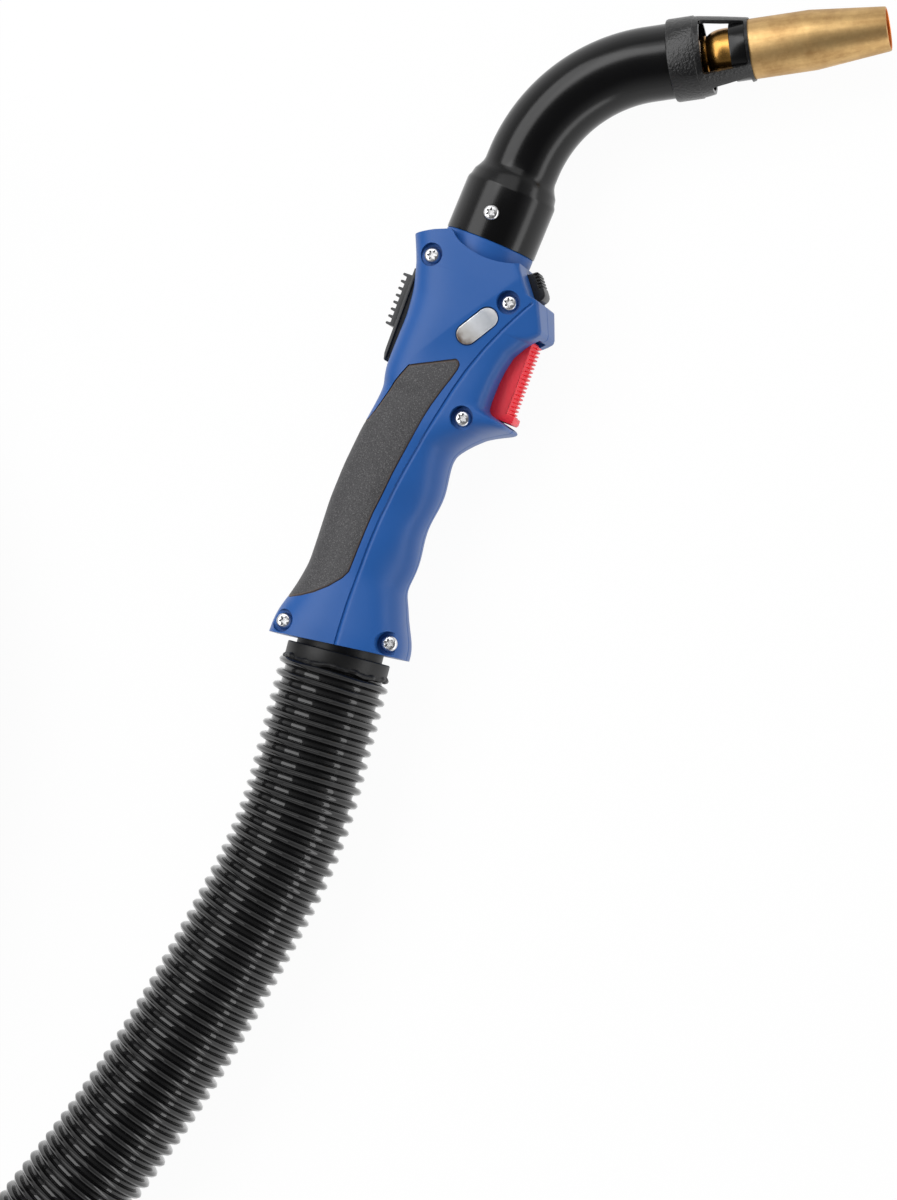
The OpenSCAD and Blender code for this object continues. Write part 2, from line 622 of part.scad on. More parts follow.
coil_step = 15 * PI / 180 * coil_r;     // length of tube from ring to ring, 24 to a turn
coil_sides = 8;
coil_tube_r = hose_r - 0.5 * rib_h;
coil_rings = floor((hose_end - run_end) / coil_step);
coil_s = [for (k = [0:coil_rings]) run_end + k * (hose_end - run_end) / coil_rings];
module hose_coil() {
    color([0.1, 0.1, 0.1]) at_rest()
        tube([for (s = coil_s) tube_ring(s, coil_tube_r, coil_sides)],
            [for (s = coil_s) tube_ring(s, bore_r, coil_sides)]);
}
check_s = [for (k = [0:12:hose_end - run_end]) run_end + k];
check_points = [for (s = check_s) hose_point(s)];
coil_gap = min([for (i = [0:len(check_points) - 1], j = [i + 12:len(check_points) - 1])
    norm(check_points[i] - check_points[j])]) - 2 * hose_r;
echo(coil_gap = coil_gap, hose_length = hose_end);

module hose_cuff() {
    color([0.12, 0.12, 0.12]) at_rest() hose_exit_frame() difference() {
        union() {
            translate([0, 0, -cuff_in]) cylinder(r = cuff_r, h = cuff_in + cuff_out);
            translate([0, 0, -cuff_deep]) cylinder(r = cuff_spigot_r, h = cuff_deep);
        }
        translate([0, 0, -cuff_deep - 1]) cylinder(r = cuff_spigot_r - 2.4, h = 60);
    }
}

tie_w = 20;
tie_t = 0.8;
tie_s = coil_s[3];
module coil_tie() {
    p = flat_pose(tie_s);
    color("dimgray") at_rest() translate([p[0], p[1], 0]) rotate([0, 0, p[2]]) rotate([0, -90, 0])
        translate([0, 0, -tie_w / 2]) linear_extrude(tie_w) difference() {
            union() {
                for (z = [0, layer_h]) translate([z, 0]) circle(r = hose_r + tie_t);
                translate([0, -hose_r - tie_t]) square([layer_h, 2 * (hose_r + tie_t)]);
            }
            for (z = [0, layer_h]) translate([z, 0]) circle(r = hose_r + 0.1);
            translate([0, -hose_r - 0.1]) square([layer_h, 2 * (hose_r + 0.1)]);
        }
}

// ---- machine end: cuff, junction with the suction port, and the central plug
end_pose = flat_pose(hose_end);
module end_frame() {
    at_rest() translate([end_pose[0], end_pose[1], layer_h]) rotate([0, 0, end_pose[2] - 90]) children();
}
end_r = 22.4;
end_cuff_len = 12;
junction_len = 70;
port_r = 20;
port_bore = 17.5;
port_angle = 55;
port_at = 34;
port_out = 56;
port_deep = 16;                 // how far the suction hose's spigot goes in
module end_cuff() {
    color([0.12, 0.12, 0.12]) end_frame()
        turned([[bore_r, 0], [end_r, 0], [end_r, end_cuff_len], [bore_r, end_cuff_len]]);
}
junction_to = end_cuff_len + junction_len;
module port_frame() { translate([0, port_at, 0]) rotate([0, 0, port_angle]) children(); }
module junction_body() {
    color([0.14, 0.14, 0.14]) end_frame() difference() {
        union() {
            rod(end_r, end_cuff_len, junction_to - 12);
            turned([[0, junction_to - 12], [end_r, junction_to - 12], [17, junction_to], [0, junction_to]]);
            port_frame() rod(port_r, 0, port_out);
            port_frame() rod(port_r + 1, port_out - 8, port_out - 5);
        }
        rod(end_r - 2.6, end_cuff_len - 1, junction_to - 16);
        rod(12, junction_to - 17, junction_to - 8);
        port_frame() rod(port_bore, port_out - port_deep, far);
        port_frame() rod(port_bore - 1, 0, far);
        rod(contact_r, junction_to - 9, far);
    }
}
plug_len = 44;
plug_to = junction_to + plug_len;
nut_from = plug_to - 15.7;
nut_to = plug_to - 2;
neck_r = 16;                    // the plug's neck that the nut turns on, and the lip that keeps it there
lip = 4;
lip_r = 17.2;
contact_r = 8;
pin_off = 11.4;                 // control pins, from the plug's axis
control_r = 1.9;
insert_len = 24;
insert_r = 14.6;
module plug_housing() {
    color([0.14, 0.14, 0.14]) end_frame() difference() {
        turned([[0, junction_to], [17, junction_to], [19, junction_to + 10], [19, nut_from - clear],
            [neck_r, nut_from - clear], [neck_r, plug_to - lip], [lip_r, plug_to - lip],
            [lip_r, plug_to], [0, plug_to]]);
        rod(insert_r, plug_to - insert_len, far);
        rod(contact_r, junction_to - 1, far);
    }
}
module plug_nut() {
    color([0.14, 0.14, 0.14]) end_frame() difference() {
        union() {
            rod(21, nut_from, nut_to);
            for (i = [0:11]) rotate([0, 30 * i, 0]) translate([0, 0, 20.4]) rod(1.6, nut_from, nut_to);
        }
        rod(neck_r + 2 * fit, 0, far);
        rod(lip_r + clear, plug_to - lip - clear, far);
    }
}
module plug_insert() {
    color("linen") end_frame() difference() {
        rod(insert_r - fit, plug_to - insert_len, plug_to);
        rod(contact_r, 0, far);
        for (a = [120, 300]) rotate([0, a, 0]) translate([0, 0, pin_off]) rod(control_r, 0, far);
    }
}
spigot_out = 18;
spigot_root = 1;                // undercut where it leaves the insert
spigot_r_out = 5.5;
module plug_contacts() {
    color("goldenrod") end_frame() {
        difference() {
            union() {
                rod(contact_r - fit, junction_to - 16, plug_to);
                rod(spigot_r_out - 0.6, plug_to - eps, plug_to + spigot_root + eps);
                rod(spigot_r_out, plug_to + spigot_root, plug_to + spigot_out);
            }
            rod(liner_r + fit, 0, far);
        }
        for (a = [120, 300]) rotate([0, a, 0]) translate([0, 0, pin_off])
            rod(control_r - fit, plug_to - insert_len + 4, plug_to + 9);
    }
}

handle_shell_near();
handle_shell_far();
grip_pad_near();
grip_pad_far();
handle_screws();
badge();
trigger();
trigger_pin();
microswitch();
lock_button();
bypass_bezel();
bypass_slide();
neck_collar();
neck_shroud();
shroud_screws();
inner_neck();
wire_liner();
neck_nut();
power_cable();
fume_nozzle();
nozzle_seat();
insulator_ring();
gas_nozzle();
gas_diffuser();
tip_holder();
contact_tip();
hose_cuff();
hose_run();
hose_coil();
coil_tie();
end_cuff();
junction_body();
plug_housing();
plug_nut();
plug_insert();
plug_contacts();
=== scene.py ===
# Fume-extraction welding torch lying on its side, with its ribbed hose and machine-side plug.
# Metres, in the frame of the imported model: +Z up, the handle along +Y, the trigger towards +X.
import bpy
import json
import numpy as np
from math import ceil, cos, degrees, floor, hypot, pi, radians, sin
from mathutils import Matrix, Vector
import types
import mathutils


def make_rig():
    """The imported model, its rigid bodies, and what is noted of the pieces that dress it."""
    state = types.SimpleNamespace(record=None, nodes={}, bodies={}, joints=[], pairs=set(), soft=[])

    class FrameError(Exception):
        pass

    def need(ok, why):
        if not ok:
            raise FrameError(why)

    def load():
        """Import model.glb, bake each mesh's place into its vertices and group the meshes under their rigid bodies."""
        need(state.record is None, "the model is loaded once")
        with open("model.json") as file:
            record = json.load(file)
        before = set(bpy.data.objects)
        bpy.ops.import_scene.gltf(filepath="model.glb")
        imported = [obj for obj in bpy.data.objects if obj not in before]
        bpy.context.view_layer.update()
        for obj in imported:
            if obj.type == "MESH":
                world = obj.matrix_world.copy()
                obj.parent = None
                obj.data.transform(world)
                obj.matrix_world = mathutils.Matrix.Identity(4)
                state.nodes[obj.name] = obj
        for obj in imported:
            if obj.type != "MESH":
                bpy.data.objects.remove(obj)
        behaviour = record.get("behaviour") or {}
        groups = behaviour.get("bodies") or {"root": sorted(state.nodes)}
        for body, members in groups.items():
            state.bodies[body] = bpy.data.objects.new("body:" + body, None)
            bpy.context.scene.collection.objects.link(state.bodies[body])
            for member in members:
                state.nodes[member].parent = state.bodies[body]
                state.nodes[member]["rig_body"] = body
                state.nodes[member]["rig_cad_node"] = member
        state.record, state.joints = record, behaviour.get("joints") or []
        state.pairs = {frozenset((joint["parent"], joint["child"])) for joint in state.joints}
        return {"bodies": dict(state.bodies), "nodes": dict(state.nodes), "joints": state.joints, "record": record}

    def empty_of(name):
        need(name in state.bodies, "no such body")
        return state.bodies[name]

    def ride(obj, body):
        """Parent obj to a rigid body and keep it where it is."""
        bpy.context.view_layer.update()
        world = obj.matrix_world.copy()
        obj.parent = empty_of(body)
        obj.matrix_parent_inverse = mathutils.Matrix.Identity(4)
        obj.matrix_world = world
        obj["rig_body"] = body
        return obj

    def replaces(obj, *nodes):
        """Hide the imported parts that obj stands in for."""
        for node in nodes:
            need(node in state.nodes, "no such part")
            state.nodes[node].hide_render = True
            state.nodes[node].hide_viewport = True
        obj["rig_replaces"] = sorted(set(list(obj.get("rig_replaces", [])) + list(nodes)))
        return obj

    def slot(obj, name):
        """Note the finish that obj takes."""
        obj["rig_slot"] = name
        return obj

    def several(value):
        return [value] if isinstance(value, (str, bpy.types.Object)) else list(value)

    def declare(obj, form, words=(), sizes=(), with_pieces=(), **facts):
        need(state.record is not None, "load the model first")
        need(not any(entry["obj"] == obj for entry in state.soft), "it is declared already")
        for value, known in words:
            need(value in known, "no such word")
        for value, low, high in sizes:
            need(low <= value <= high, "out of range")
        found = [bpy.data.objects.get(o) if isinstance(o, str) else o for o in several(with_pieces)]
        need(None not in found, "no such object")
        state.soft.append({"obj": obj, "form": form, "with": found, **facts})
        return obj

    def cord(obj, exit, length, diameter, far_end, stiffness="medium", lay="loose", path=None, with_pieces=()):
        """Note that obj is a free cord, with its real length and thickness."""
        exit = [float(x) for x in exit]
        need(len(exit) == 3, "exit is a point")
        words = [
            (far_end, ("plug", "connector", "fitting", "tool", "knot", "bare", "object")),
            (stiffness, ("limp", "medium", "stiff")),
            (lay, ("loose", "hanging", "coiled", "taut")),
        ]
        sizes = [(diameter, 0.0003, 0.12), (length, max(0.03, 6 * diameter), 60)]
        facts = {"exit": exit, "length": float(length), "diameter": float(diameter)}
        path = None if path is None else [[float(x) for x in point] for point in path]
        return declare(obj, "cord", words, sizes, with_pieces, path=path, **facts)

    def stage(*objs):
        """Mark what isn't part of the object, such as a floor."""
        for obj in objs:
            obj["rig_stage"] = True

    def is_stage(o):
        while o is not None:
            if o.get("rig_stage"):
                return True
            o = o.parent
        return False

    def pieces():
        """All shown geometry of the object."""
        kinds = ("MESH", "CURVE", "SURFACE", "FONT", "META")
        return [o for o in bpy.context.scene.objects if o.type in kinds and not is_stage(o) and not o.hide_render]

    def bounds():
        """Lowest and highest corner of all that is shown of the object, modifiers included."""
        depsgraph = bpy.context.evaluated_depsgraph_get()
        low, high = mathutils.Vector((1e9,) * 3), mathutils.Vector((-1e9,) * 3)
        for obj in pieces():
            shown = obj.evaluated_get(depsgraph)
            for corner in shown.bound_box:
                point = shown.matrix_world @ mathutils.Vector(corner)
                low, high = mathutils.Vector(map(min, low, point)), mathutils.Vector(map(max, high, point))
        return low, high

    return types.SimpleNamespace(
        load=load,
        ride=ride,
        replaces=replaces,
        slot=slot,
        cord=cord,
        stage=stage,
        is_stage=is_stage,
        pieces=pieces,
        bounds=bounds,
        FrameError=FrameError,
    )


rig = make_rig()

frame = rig.load()
cad_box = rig.bounds()
bpy.context.scene.view_settings.view_transform = "Standard"

# ---------------------------------------------------------------- places
# Each place turns a point in millimetres, in a sub-assembly's own axes, into the frame's metres.
MM = 0.001


def moved(x, y, z=0.0):
    return Matrix.Translation((x, y, z))


def turned_by(turn, axis="Z"):
    return Matrix.Rotation(radians(turn), 4, axis)


REST = (-49.45, -150.77, 23.6)
HANDLE = Matrix.Scale(MM, 4) @ moved(*REST)
NECK_DEG, BEND_DEG = -2.5, 60.8
BEND_R, BEND_FROM = 63, 34.8
NECK = HANDLE @ moved(1.32, 172.4) @ turned_by(NECK_DEG)
TIP = NECK @ moved(BEND_R, BEND_FROM) @ turned_by(-BEND_DEG) @ moved(-BEND_R, 0)
NOZZLE = TIP @ moved(0, 9)
BADGE_AT, BADGE_DEG, BADGE_SIZE = (12.4, 138.4, 19.4), 58, (18.6, 8.2)
HOSE_EXIT = (0.35, -1.05)
HOSE_HEADING = -84.5
HOSE_START = HANDLE @ moved(*HOSE_EXIT) @ turned_by(HOSE_HEADING - 90)


# ---------------------------------------------------------------- camera
def set_camera():
    place = (0.37355, -0.11787, 1.7735)
    yaw, roll = radians(12.5), radians(70)
    side = Vector((cos(yaw), 0, -sin(yaw)))
    along = Vector((0, 1, 0))
    right = cos(roll) * along + sin(roll) * side
    up = sin(roll) * along - cos(roll) * side
    back = right.cross(up)
    data = bpy.data.cameras.new("camera")
    data.sensor_fit = "VERTICAL"
    data.sensor_height = 36
    data.lens = 135
    camera = bpy.data.objects.new("camera", data)
    camera.matrix_world = moved(*place) @ Matrix((right, up, back)).transposed().to_4x4()
    bpy.context.collection.objects.link(camera)
    bpy.context.scene.camera = camera


set_camera()


# ---------------------------------------------------------------- light and floor
def lamp(name, place, aim, size, power):
    data = bpy.data.lights.new(name, "AREA")
    data.shape = "RECTANGLE"
    data.size, data.size_y = size
    data.energy = power
    thing = bpy.data.objects.new(name, data)
    way = Vector(aim) - Vector(place)
    thing.rotation_euler = way.to_track_quat("-Z", "Y").to_euler()
    thing.location = place
    thing.visible_camera = False
    bpy.context.collection.objects.link(thing)


lamp("left_lamp", (-1.0, 0.05, 1.3), (-0.05, 0.02, 0.0), (2.2, 1.1), 24)
lamp("top_lamp", (-0.2, 0.95, 1.25), (-0.02, 0.08, 0.0), (1.4, 1.0), 6)
lamp("right_lamp", (1.15, -0.05, 0.26), (0.0, 0.0, 0.02), (2.4, 0.35), 7)


# ---------------------------------------------------------------- materials
class Value:
    """One socket of a node tree, with arithmetic: an expression on values adds its Math nodes."""

    def __init__(self, nodes, socket):
        self.nodes, self.socket = nodes, socket

    def math(self, operation, *terms):
        return self.nodes.node("ShaderNodeMath", {"operation": operation}, dict(enumerate(terms)))

    def __add__(self, other):
        return self.math("ADD", self, other)

    def __sub__(self, other):
        return self.math("SUBTRACT", self, other)

    def __rsub__(self, other):
        return self.math("SUBTRACT", other, self)

    def __mul__(self, other):
        return self.math("MULTIPLY", self, other)

    def most(self, other):
        return self.math("MAXIMUM", self, other)

    def clamped(self):
        return self.math("MINIMUM", self.most(0.0), 1.0)

    __radd__ = __add__
    __rmul__ = __mul__


class Nodes:
    """One node tree, and the way that its nodes are added."""

    def __init__(self, tree):
        self.tree = tree

    def node(self, kind, settings=None, inputs=None, output=0):
        made = self.tree.nodes.new(kind)
        for key, value in (settings or {}).items():
            if key == "stops":
                ramp = made.color_ramp
                for i, (at, colour) in enumerate(value):
                    stop = ramp.elements[i] if i < 2 else ramp.elements.new(at)
                    stop.position, stop.color = at, colour
            else:
                setattr(made, key, value)
        for key, value in (inputs or {}).items():
            if isinstance(value, Value):
                self.tree.links.new(value.socket, made.inputs[key])
            else:
                made.inputs[key].default_value = value
        return Value(self, made.outputs[output])

    def seen(self):
        """1 for the rays that show a backdrop: the camera's, and those that gloss and glass send on"""
        camera, gloss, glass = [self.node("ShaderNodeLightPath", output=f"Is {ray} Ray")
                                for ray in ("Camera", "Glossy", "Transmission")]
        return camera.most(gloss).most(glass)

    def show(self, output, shader):
        self.tree.links.new(shader.socket, self.tree.nodes[output].inputs[0])


class Finish(Nodes):
    """One material: its shader's constants, and the patterns that are fed to it."""

    def __init__(self, name, colour, **shader):
        self.name = name
        self.material = bpy.data.materials.new(name)
        self.material.use_nodes = True
        super().__init__(self.material.node_tree)
        self.shader = self.tree.nodes["Principled BSDF"]
        self.colour = (*[linear(c) for c in colour], 1.0)
        self.material.diffuse_color = self.colour
        self.set("Base Color", self.colour)
        for socket, value in shader.items():
            self.set(socket.replace("_", " "), value)

    def set(self, socket, value):
        self.shader.inputs[socket].default_value = value

    def feed(self, socket, value):
        self.tree.links.new(value.socket, self.shader.inputs[socket])

    def place(self):
        return self.node("ShaderNodeTexCoord", output="Object")

    def noise(self, scale, detail=2.0, rough=0.5, at=None):
        inputs = {"Vector": at or self.place(), "Scale": scale, "Detail": detail, "Roughness": rough}
        return self.node("ShaderNodeTexNoise", {}, inputs)

    def blend(self, share, a, b):
        return self.node("ShaderNodeMix", {"data_type": "RGBA"}, {0: share, 6: a, 7: b}, 2)

    def shade(self, share, low, high):
        """The finish's own colour, from low times it where share is 0 to high times it where share is 1"""
        dark = (*[c * low for c in self.colour[:3]], 1.0)
        light = (*[min(1.0, c * high) for c in self.colour[:3]], 1.0)
        self.feed("Base Color", self.blend(share, dark, light))

    def bump(self, height, depth, strength):
        return self.node("ShaderNodeBump", {}, {"Height": height, "Distance": depth, "Strength": strength})

    def marked(self, name):
        """The piece's own attribute of that name"""
        return self.node("ShaderNodeAttribute", {"attribute_name": name}, output="Fac")


def linear(c):
    """Linear light from a display value of 0 to 255"""
    c = c / 255
    return c / 12.92 if c <= 0.04045 else ((c + 0.055) / 1.055) ** 2.4


def moulded(name, colour, rough, grain_mm=0.18, depth=0.00003, **shader):
    """Injection-moulded plastic: a fine eroded texture, with soft clouds in its gloss"""
    f = Finish(name, colour, **shader)
    clouds = f.noise(35, 3)
    specks = f.noise(600 / grain_mm, 2, 0.6)
    f.shade(clouds * 0.6 + specks * 0.4, 0.90, 1.10)
    f.feed("Roughness", rough - 0.06 + clouds * 0.12)
    f.feed("Normal", f.bump(specks, depth, 0.6))
    return f


def glossy_black(name, colour, rough):
    """Smooth black plastic with faint hairlines and dull patches"""
    f = Finish(name, colour, Specular_IOR_Level=0.35)
    clouds = f.noise(28, 4, 0.6)
    stretched = f.node("ShaderNodeMapping", {}, {"Vector": f.place(), "Scale": (90, 1400, 1400)})
    hairs = f.noise(1.0, 2, 0.7, at=stretched)
    f.shade(clouds, 0.7, 1.3)
    f.feed("Roughness", (rough + (clouds - 0.5) * 0.1 + (hairs - 0.5) * 0.05).clamped())
    f.feed("Normal", f.bump(clouds, 0.00012, 0.25))
    return f


def grip_rubber():
    """Charcoal soft plastic with light specks in its grain, and a brownish band along its edge"""
    f = Finish("grip_rubber", (50, 49, 50), Specular_IOR_Level=0.4)
    clouds = f.noise(22, 3)
    grain = f.noise(2600, 3, 0.65)
    specks = f.node("ShaderNodeTexVoronoi", {}, {"Vector": f.place(), "Scale": 1250})
    light = (0.36 - specks).clamped() * 3.0
    rim = f.marked("rim")
    body = f.blend((grain - 0.35).clamped() * 1.8, (0.022, 0.0215, 0.023, 1), (0.135, 0.133, 0.140, 1))
    flecked = f.blend((light * 0.6).clamped(), body, (0.22, 0.215, 0.215, 1))
    f.feed("Base Color", f.blend(rim, flecked, (0.10, 0.075, 0.062, 1)))
    f.feed("Roughness", 0.50 + clouds * 0.16 - light * 0.1)
    f.feed("Normal", f.bump(grain + light * 0.5, 0.00012, 0.8))
    return f


def metal(name, colour, rough, fineness):
    """Worked metal: a fine grain, and a slight tarnish"""
    f = Finish(name, colour, Metallic=1.0)
    grain = f.noise(fineness, 2, 0.7)
    clouds = f.noise(120, 4, 0.6)
    f.shade((clouds * 0.5 + grain * 0.5).clamped(), 0.72, 1.12)
    f.feed("Roughness", (rough - 0.1 + clouds * 0.14 + grain * 0.08).clamped())
    f.feed("Normal", f.bump(grain, 0.00001, 0.5))
    return f


def nozzle_brass():
    """Turned brass that has been in use: dull drifts, dark smears along it, and a heat-coloured bore"""
    f = Finish("nozzle_brass", (204, 160, 98), Metallic=1.0)
    turn = (0, 0, radians(90 + NECK_DEG - BEND_DEG))
    drawn = f.node("ShaderNodeMapping", {"vector_type": "TEXTURE"},
                   {"Vector": f.place(), "Rotation": turn, "Scale": (0.03, 0.003, 0.003)})
    streaks = f.noise(1.0, 3, 0.6, at=drawn)
    clouds = f.noise(95, 4, 0.65)
    spots = f.noise(420, 3, 0.7)
    dirt = ((clouds * 0.5 + streaks * 0.35 + spots * 0.15) - 0.36).clamped() * 2.6
    bright = f.blend(dirt.clamped(), (0.42, 0.25, 0.10, 1), (0.82, 0.56, 0.25, 1))
    f.feed("Base Color", f.blend(f.marked("bore"), bright, (0.80, 0.26, 0.06, 1)))
    f.feed("Roughness", (0.50 - dirt * 0.16 + spots * 0.06).clamped())
    f.feed("Normal", f.bump(spots, 0.00003, 0.5))
    return f


def badge_with_painted_reflections():
    """Clear-topped silver foil whose colour runs along it: painted reflections make it bright in the middle and near
    one end, darker between, and it is dark brownish at the other end
    """
    f = Finish("badge_silver", (214, 217, 222), Metallic=0.35, Coat_Weight=1.0, Coat_Roughness=0.04)
    along = Vector((cos(radians(BADGE_DEG)), sin(radians(BADGE_DEG)), 0)) / (BADGE_SIZE[0] * MM)
    middle = (HANDLE @ Vector(BADGE_AT)).dot(along)
    at = f.node("ShaderNodeVectorMath", {"operation": "DOT_PRODUCT"}, {0: f.place(), 1: along}, "Value")
    drift = f.noise(260, 2)
    share = (at - (middle - 0.5) + (drift - 0.5) * 0.35).clamped()
    # painted reflections: this ramp makes the foil bright in the middle and near one end and darker between; at the
    # other end it is dark brownish
    ramp = f.node("ShaderNodeValToRGB", {"stops": [
        (0.06, (0.16, 0.11, 0.08, 1)), (0.22, (0.62, 0.60, 0.58, 1)), (0.5, (0.80, 0.82, 0.86, 1)),
        (0.8, (0.60, 0.63, 0.68, 1)), (0.97, (0.86, 0.86, 0.88, 1))]}, {0: share})
    f.feed("Base Color", ramp)
    f.feed("Roughness", 0.14 + drift * 0.12)
    return f


def hose_plastic():
    """Glossy black extrusion: faint lines round the ribs, dust in the webs"""
    f = Finish("hose_black", (15, 15, 16), Specular_IOR_Level=0.12, Coat_Weight=0.9, Coat_Roughness=0.04)
    clouds = f.noise(30, 3)
    fine = f.noise(900, 2)
    web = f.marked("web")
    dusty = (web * clouds * 0.6).clamped()
    f.feed("Base Color", f.blend(dusty, (0.0040, 0.0040, 0.0044, 1), (0.016, 0.016, 0.017, 1)))
    f.feed("Roughness", (0.26 + web * 0.2 + (clouds - 0.5) * 0.1).clamped())
    f.feed("Normal", f.bump(fine, 0.00002, 0.3))
    return f


def webbing():
    f = Finish("tie_grey", (92, 94, 98), Specular_IOR_Level=0.3)
    weave = (f.noise(1400, 1) + f.noise(300, 2)) * 0.5
    f.shade(weave, 0.6, 1.35)
    f.set("Roughness", 0.85)
    f.feed("Normal", f.bump(weave, 0.00025, 0.8))
    return f


FINISHES = {finish.name: finish for finish in (
    moulded("blue_shell", (33, 86, 156), 0.39, Specular_IOR_Level=0.32),
    grip_rubber(),
    moulded("red_plastic", (248, 42, 60), 0.42, 0.3),
    moulded("black_plastic", (30, 31, 33), 0.40),
    glossy_black("shroud_black", (8, 8, 9), 0.21),
    glossy_black("cuff_black", (16, 16, 17), 0.42),
    moulded("fume_black", (15, 15, 16), 0.30, 0.7, 0.0004),
    hose_plastic(),
    metal("steel", (232, 232, 233), 0.30, 900),
    badge_with_painted_reflections(),
    metal("brass", (190, 142, 74), 0.28, 300),
    nozzle_brass(),
    metal("copper", (196, 124, 88), 0.28, 300),
    moulded("cable_black", (28, 28, 30), 0.55),
    moulded("insert_cream", (216, 206, 184), 0.5),
    webbing(),
)}


def dress(node, slot):
    """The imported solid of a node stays, and takes a finish"""
    data = frame["nodes"][node].data
    data.materials.clear()
    data.materials.append(FINISHES[slot].material)


def white_floor():
    bpy.ops.mesh.primitive_plane_add(size=9, location=(-0.2, 0, -0.0004))
    plane = bpy.context.object
    plane.name = "floor"
    f = Finish("floor_white", (244, 244, 244), Roughness=0.9)
    glow = f.node("ShaderNodeEmission", {}, {"Color": (1, 1, 1, 1), "Strength": 1.0})
    lit = Value(f, f.shader.outputs[0])
    f.show("Material Output", f.node("ShaderNodeMixShader", {}, {0: f.seen() * 0.96, 1: lit, 2: glow}))
    plane.data.materials.append(f.material)
    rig.stage(plane)


def white_room():
    """Even light for what is lit, and for what is seen: white at the horizon, dim overhead"""
    world = bpy.data.worlds.new("room")
    bpy.context.scene.world = world
    world.use_nodes = True
    sky = Nodes(world.node_tree)
    background = sky.tree.nodes["Background"]
    background.inputs["Color"].default_value = (1, 1, 1, 1)
    background.inputs["Strength"].default_value = 0.32
    even = Value(sky, background.outputs[0])
    way = sky.node("ShaderNodeTexCoord", output="Generated")
    height = sky.node("ShaderNodeSeparateXYZ", {}, {0: way}, 2)
    fall = sky.node("ShaderNodeMapRange", {}, {
        "Value": height, "From Min": 0.15, "From Max": 0.75, "To Min": 1.0, "To Max": 0.12})
    shown = sky.node("ShaderNodeBackground", {}, {"Strength": fall})
    sky.show("World Output", sky.node("ShaderNodeMixShader", {}, {0: sky.seen(), 1: even, 2: shown}))


white_floor()
white_room()


# ---------------------------------------------------------------- shaping tools
def hold(piece):
    """The piece alone is selected and active"""
    bpy.ops.object.select_all(action="DESELECT")
    piece.select_set(True)
    bpy.context.view_layer.objects.active = piece


def in_edit(piece, *steps):
    """Runs each step in edit mode on the piece alone"""
    hold(piece)
    bpy.ops.object.mode_set(mode="EDIT")
    for step in steps:
        step()
    bpy.ops.object.mode_set(mode="OBJECT")


def select_all():
    bpy.ops.mesh.select_all(action="SELECT")


def face_outward():
    bpy.ops.mesh.normals_make_consistent(inside=False)


def close_up(piece, near=2e-7):
    """Merges what coincides, closes the open ends and turns the faces outward"""
    in_edit(piece, select_all, lambda: bpy.ops.mesh.remove_doubles(threshold=near),
            lambda: bpy.ops.mesh.dissolve_degenerate(threshold=near), select_all,
            lambda: bpy.ops.mesh.fill_holes(sides=0), select_all, face_outward)


def done(piece, slot, *replaces, body="torch", smooth=35):
    """Settles a piece: place in its mesh, smooth shading but for its edges, finish and body"""
    hold(piece)
    bpy.ops.object.transform_apply(location=True, rotation=True, scale=True)
    bpy.ops.object.shade_smooth_by_angle(angle=radians(smooth))
    piece.data.materials.clear()
    piece.data.materials.append(FINISHES[slot].material)
    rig.ride(piece, body)
    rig.slot(piece, {"nozzle_brass": "brass", "cuff_black": "hose_black"}.get(slot, slot))
    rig.replaces(piece, *replaces)
    bpy.ops.object.select_all(action="DESELECT")
    return piece


def finished(piece, kind, **settings):
    """Adds a modifier and applies it"""
    hold(piece)
    made = piece.modifiers.new(kind.lower(), kind)
    for key, value in settings.items():
        setattr(made, key, value)
    bpy.ops.object.modifier_apply(modifier=made.name)
    return piece


def rounded(piece, width, segments=2, angle=30):
    return finished(piece, "BEVEL", width=width * MM, segments=segments, limit_method="ANGLE",
                    angle_limit=radians(angle))


def joined(name, *pieces):
    """All the pieces as one, under a new name"""
    hold(pieces[0])
    for piece in pieces[1:]:
        piece.select_set(True)
    bpy.ops.object.join()
    pieces[0].name = name
    return pieces[0]


def block(place, low, high):
    """A box between two corners, given in the place's own axes"""
    middle = [(a + b) / 2 for a, b in zip(low, high)]
    spread = [(b - a) * MM for a, b in zip(low, high)]
    bpy.ops.mesh.primitive_cube_add(size=1, location=place @ Vector(middle),
                                    rotation=place.to_quaternion().to_euler(), scale=spread)
    return bpy.context.object


def corner_block(corner, low, high, deep, side):
    """A box between two [x, y] corners, as deep as given on the corner's outer side"""
    z = (0, deep) if side > 0 else (-deep, 0)
    return block(corner, (*low, z[0]), (*high, z[1]))


def bar(place, r, low, high, sides=64):
    """A round bar about the place's Z, from low to high along it"""
    bpy.ops.mesh.primitive_cylinder_add(vertices=sides, radius=r * MM, depth=(high - low) * MM,
                                        location=place @ Vector((0, 0, (low + high) / 2)),
                                        rotation=place.to_quaternion().to_euler())
    return bpy.context.object


ALONG = turned_by(-90, "X")             # after a place: its Z then runs along what was its Y


def spoke(place, turn, out, on=0.0):
    """The place turned about its own Y, then moved on along it and out from it"""
    return place @ turned_by(turn, "Y") @ moved(0, on, out)


def plate(place, outline, low, high, name="plate"):
    """A flat outline of [x, y] points, drawn out from low to high along the place's Z"""
    bpy.ops.mesh.primitive_circle_add(vertices=len(outline), radius=10 * MM, fill_type="NGON")
    piece = bpy.context.object
    piece.name = name
    for vertex, (x, y) in zip(piece.data.vertices, outline):
        vertex.co = place @ Vector((x, y, low))
    rise = place.to_3x3() @ Vector((0, 0, high - low))
    in_edit(piece, select_all,
            lambda: bpy.ops.mesh.extrude_region_move(TRANSFORM_OT_translate={"value": rise}),
            select_all, face_outward)
    return piece


